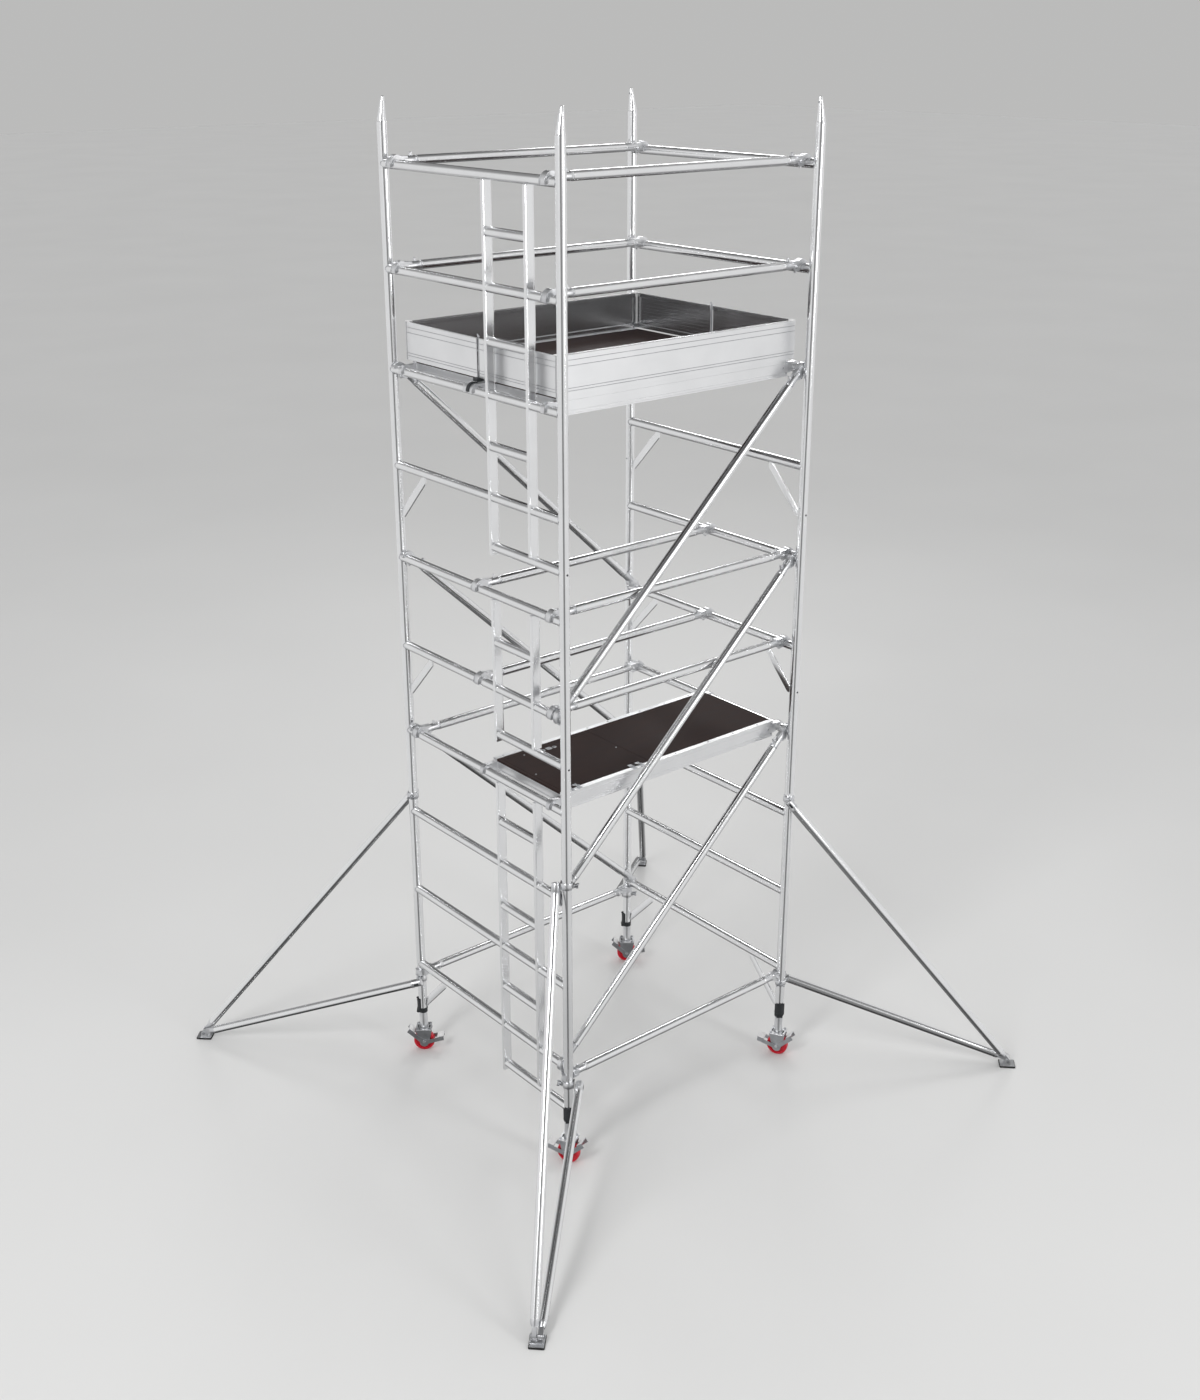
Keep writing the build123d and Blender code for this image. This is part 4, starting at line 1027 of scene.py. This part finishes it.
def stabiliser_arm(shape, side, offset, height):
    """Arm with its cast head and a black patch painted as the shade of a slot, tube, tapered end and flat
    foot eye.
    """
    top = Vector((0, side * offset, height))
    foot = Vector((REACH, side * FOOT_OFFSET, FOOT_Z))
    line = (foot - top).normalized()
    length = (foot - top).length
    place, _ = along(top, foot)
    shape.index = 1
    head = [(0.0150, -0.0120), (0.0205, -0.0105), (0.0228, -0.0060), (0.0230, 0.000), (0.0230, 0.0395)]
    head += [(0.0236, 0.0405), (0.0236, 0.0495), (0.0228, 0.0505)]
    shape.turned(head, place)
    # Black patch on the head, not cut in: painted shade of a slot.
    shape.index = 2
    slot = basis(top + line * 0.018, line, (0, side, 0))
    shape.prism(rounded_box(0.030, 0.012, 0.0055), 0.0180, 0.0233, slot)
    shape.index = 0
    shape.tube(top + line * 0.050, foot - line * 0.073, ARM_R)
    shape.index = 1
    taper = [(0.0225, length - 0.076), (0.0233, length - 0.075), (0.0233, length - 0.069)]
    taper += [(0.0215, length - 0.060), (0.0150, length - 0.041), (0.0130, length - 0.040)]
    shape.turned(taper, place)
    flat = Vector((line.x, 0, line.z)).normalized()
    bar = basis(foot, flat, (0, 1, 0))
    eye = arc(0.015, -90, 90, 14) + [(-0.046, 0.014), (-0.046, -0.014)]
    shape.prism(eye, -0.0118, 0.0118, bar)
    shape.index = 3
    shape.rod((0, -side * 0.0300, height), (0, -side * 0.0590, height), 0.0055, 0.0008, 20)
    wing_nut(shape, side, height)
    shape.index = 1
    post_clamp(shape, side, height)


def stabiliser(name, sx, sy):
    """One outrigger and its foot."""
    place = move(sx * HALF_LENGTH, sy * HALF_WIDTH, 0) @ Matrix.Rotation(atan2(sy, sx), 4, "Z")
    shape = Shape(place)
    for side, offset, height in ARMS:
        stabiliser_arm(shape, side, offset, height)
    body = f"stabiliser_{name}"
    shape.finish(f"{body}_detail", [ALUMINIUM, CASTING, BLACK, ZINC], body, "aluminium", [body])
    shape = Shape(place @ move(REACH, 0, 0))
    shape.prism(rounded_box(0.091, 0.078, 0.006), 0, 0.009)
    for k in range(-2, 3):
        shape.prism(rounded_box(0.0915, 0.004, 0.001), 0.002, 0.0085, move(0, k * 0.0165, 0))
    shape.index = 1
    shape.prism(rounded_box(0.084, 0.072, 0.005), 0.009, 0.012)
    shape.prism(rounded_box(0.044, 0.062, 0.003), 0.012, 0.015)
    cheek = [(-0.019, 0.012), (0.019, 0.012), (0.015, 0.040)] + arc(0.0150, 10, 170, 10, (0, 0.041))
    cheek += [(-0.015, 0.040)]
    for side in (-1, 1):
        low, high = sorted((-side * 0.028, -side * 0.031))
        shape.prism(cheek, low, high, turn(90, "X"))
    shape.index = 2
    shape.rod((0, -0.035, FOOT_Z), (0, 0.035, FOOT_Z), 0.006, 0.0006, 20)
    for side in (-1, 1):
        low, high = sorted((-side * 0.031, -side * 0.0362))
        shape.prism(hexagon(0.0095, FOOT_Z), low, high, turn(90, "X"))
    body = f"stabiliser_foot_{name}"
    shape.finish(f"{body}_detail", [RUBBER, CASTING, ZINC], body, "rubber", [body])


# ---- CAD nodes that stay as they are --------------------------------------------------------
def dress_cad_nodes():
    """Give the plain ply boards and the small buttons their finishes."""
    finishes = {"interlock_buttons_ladder": ZINC, "interlock_buttons_span": ZINC}
    for label in ("lower_hatch", "upper_hatch"):
        finishes[label] = PLY
        finishes[f"{label}_platform_deck"] = PLY
    finishes["upper_plain_platform_deck"] = PLY
    for node, finish in finishes.items():
        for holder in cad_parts[node].material_slots:
            holder.material = finish


# ---- Studio ---------------------------------------------------------------------------------
CAMERA_AT = (-5.40965, -6.51177, 5.72346)
CAMERA_TURN = (67.838, 0.0, -39.692)
CAMERA_LENS = 42.70
SENSOR = 36.0
BACKDROP = (0.498, 0.498, 0.494)
SKY = (
    ((0, 0, 1), ((-1.0, 0.16), (-0.72, 0.22), (-0.45, 0.74), (0.62, 0.78), (0.76, 0.22), (1.0, 0.22))),
    ((0.769, -0.639, 0), ((-0.34, 1.0), (-0.22, 0.28), (0.22, 0.28), (0.34, 1.0))),
    ((0.05, 0.72, 0.69), ((0.72, 1.0), (0.93, 0.36))),
)


def area_light(name, at, target, size, power, colour=(1, 1, 1)):
    """A soft rectangular light aimed at a point."""
    lamp = bpy.data.lights.new(name, "AREA")
    lamp.shape = "RECTANGLE"
    lamp.size, lamp.size_y = size
    lamp.energy = power
    lamp.color = colour
    holder = bpy.data.objects.new(name, lamp)
    aim = Vector(target) - Vector(at)
    holder.matrix_world = Matrix.Translation(at) @ aim.to_track_quat("-Z", "Y").to_matrix().to_4x4()
    bpy.context.scene.collection.objects.link(holder)


def sky_band(nodes, links, value, stops):
    """Brightness by position in a -1 to 1 range."""
    shift = nodes.new("ShaderNodeMapRange")
    shift.inputs["From Min"].default_value = -1.0
    links.new(value, shift.inputs["Value"])
    made = nodes.new("ShaderNodeValToRGB")
    steps = made.color_ramp.elements
    while len(steps) < len(stops):
        steps.new(0.5)
    for step, (place, level) in zip(steps, stops):
        step.position = (place + 1) / 2
        step.color = (level, level, level, 1)
    links.new(shift.outputs["Result"], made.inputs["Fac"])
    return made.outputs["Color"]


def sky(world):
    """Studio surround: bright walls, a dimmer ceiling and foot, and a narrow dark gap on two sides."""
    world.use_nodes = True
    nodes, links = world.node_tree.nodes, world.node_tree.links
    heading = nodes.new("ShaderNodeTexCoord").outputs["Generated"]
    light = None
    for direction, stops in SKY:
        lean = nodes.new("ShaderNodeVectorMath")
        lean.operation = "DOT_PRODUCT"
        lean.inputs[1].default_value = direction
        links.new(heading, lean.inputs[0])
        band = sky_band(nodes, links, lean.outputs["Value"], stops)
        if light:
            both = nodes.new("ShaderNodeMix")
            both.data_type = "RGBA"
            both.blend_type = "MULTIPLY"
            both.inputs["Factor"].default_value = 1.0
            links.new(light, both.inputs["A"])
            links.new(band, both.inputs["B"])
            band = both.outputs["Result"]
        light = band
    back = nodes["Background"]
    links.new(light, back.inputs["Color"])
    plain = nodes.new("ShaderNodeBackground")
    plain.inputs["Color"].default_value = (*BACKDROP, 1)
    choose = nodes.new("ShaderNodeMixShader")
    links.new(nodes.new("ShaderNodeLightPath").outputs["Is Camera Ray"], choose.inputs["Fac"])
    links.new(back.outputs["Background"], choose.inputs[1])
    links.new(plain.outputs["Background"], choose.inputs[2])
    links.new(choose.outputs["Shader"], nodes["World Output"].inputs["Surface"])


def studio():
    """Pale floor, soft lights and the camera."""
    shape = bmesh.new()
    corners = [shape.verts.new((x, y, 0)) for x, y in ((-90, -90), (90, -90), (90, 90), (-90, 90))]
    shape.faces.new(corners)
    mesh = bpy.data.meshes.new("floor")
    shape.to_mesh(mesh)
    shape.free()
    floor = bpy.data.objects.new("floor", mesh)
    bpy.context.scene.collection.objects.link(floor)
    made, nodes, links, bsdf = shader("pale_floor", (0.74, 0.74, 0.735), 0.9, 0.0)
    place = nodes.new("ShaderNodeTexCoord").outputs["Object"]
    cloud = noise(nodes, links, place, 0.4, 2.0)
    colour = ramp(nodes, links, cloud, (0.73, 0.73, 0.725), (0.75, 0.75, 0.745))
    links.new(colour, bsdf.inputs["Base Color"])
    mesh.materials.append(made)
    floor.visible_glossy = False
    world = bpy.data.worlds.new("studio")
    sky(world)
    bpy.context.scene.world = world
    area_light("key", (-7.5, -2.5, 8.0), (0, 0, 2.6), (1.8, 5.0), 330)
    area_light("fill", (2.0, -9.0, 5.0), (0, 0, 2.6), (1.5, 4.0), 150)
    area_light("rim", (6.0, 6.0, 8.0), (0, 0, 2.8), (2.2, 2.2), 120)
    ceiling = bpy.data.lights.new("ceiling", "SUN")
    ceiling.energy = 1.15
    ceiling.angle = radians(70)
    holder = bpy.data.objects.new("ceiling", ceiling)
    holder.rotation_euler = (radians(-14), radians(16), 0)
    holder.visible_glossy = False
    bpy.context.scene.collection.objects.link(holder)
    lens = bpy.data.cameras.new("camera")
    lens.sensor_fit = "VERTICAL"
    lens.sensor_height = SENSOR
    lens.lens = CAMERA_LENS
    lens.clip_end = 300.0
    camera = bpy.data.objects.new("camera", lens)
    camera.location = CAMERA_AT
    camera.rotation_euler = [radians(a) for a in CAMERA_TURN]
    bpy.context.scene.collection.objects.link(camera)
    bpy.context.scene.camera = camera
    bpy.context.scene.view_settings.view_transform = "Standard"


for level_name in LEVEL_NAMES:
    end_frame("ladder", level_name, -HALF_LENGTH)
    end_frame("span", level_name, HALF_LENGTH)
braces()
platform_frame("lower_hatch_platform_frame", -1, "G", True)
platform_frame("upper_hatch_platform_frame", -1, "C", True)
platform_frame("upper_plain_platform_frame", 1, "C", False)
hatches()
toe_boards()
legs_and_castors()
for corner, (side_x, side_y) in CORNERS.items():
    stabiliser(corner, side_x, side_y)
dress_cad_nodes()
studio()
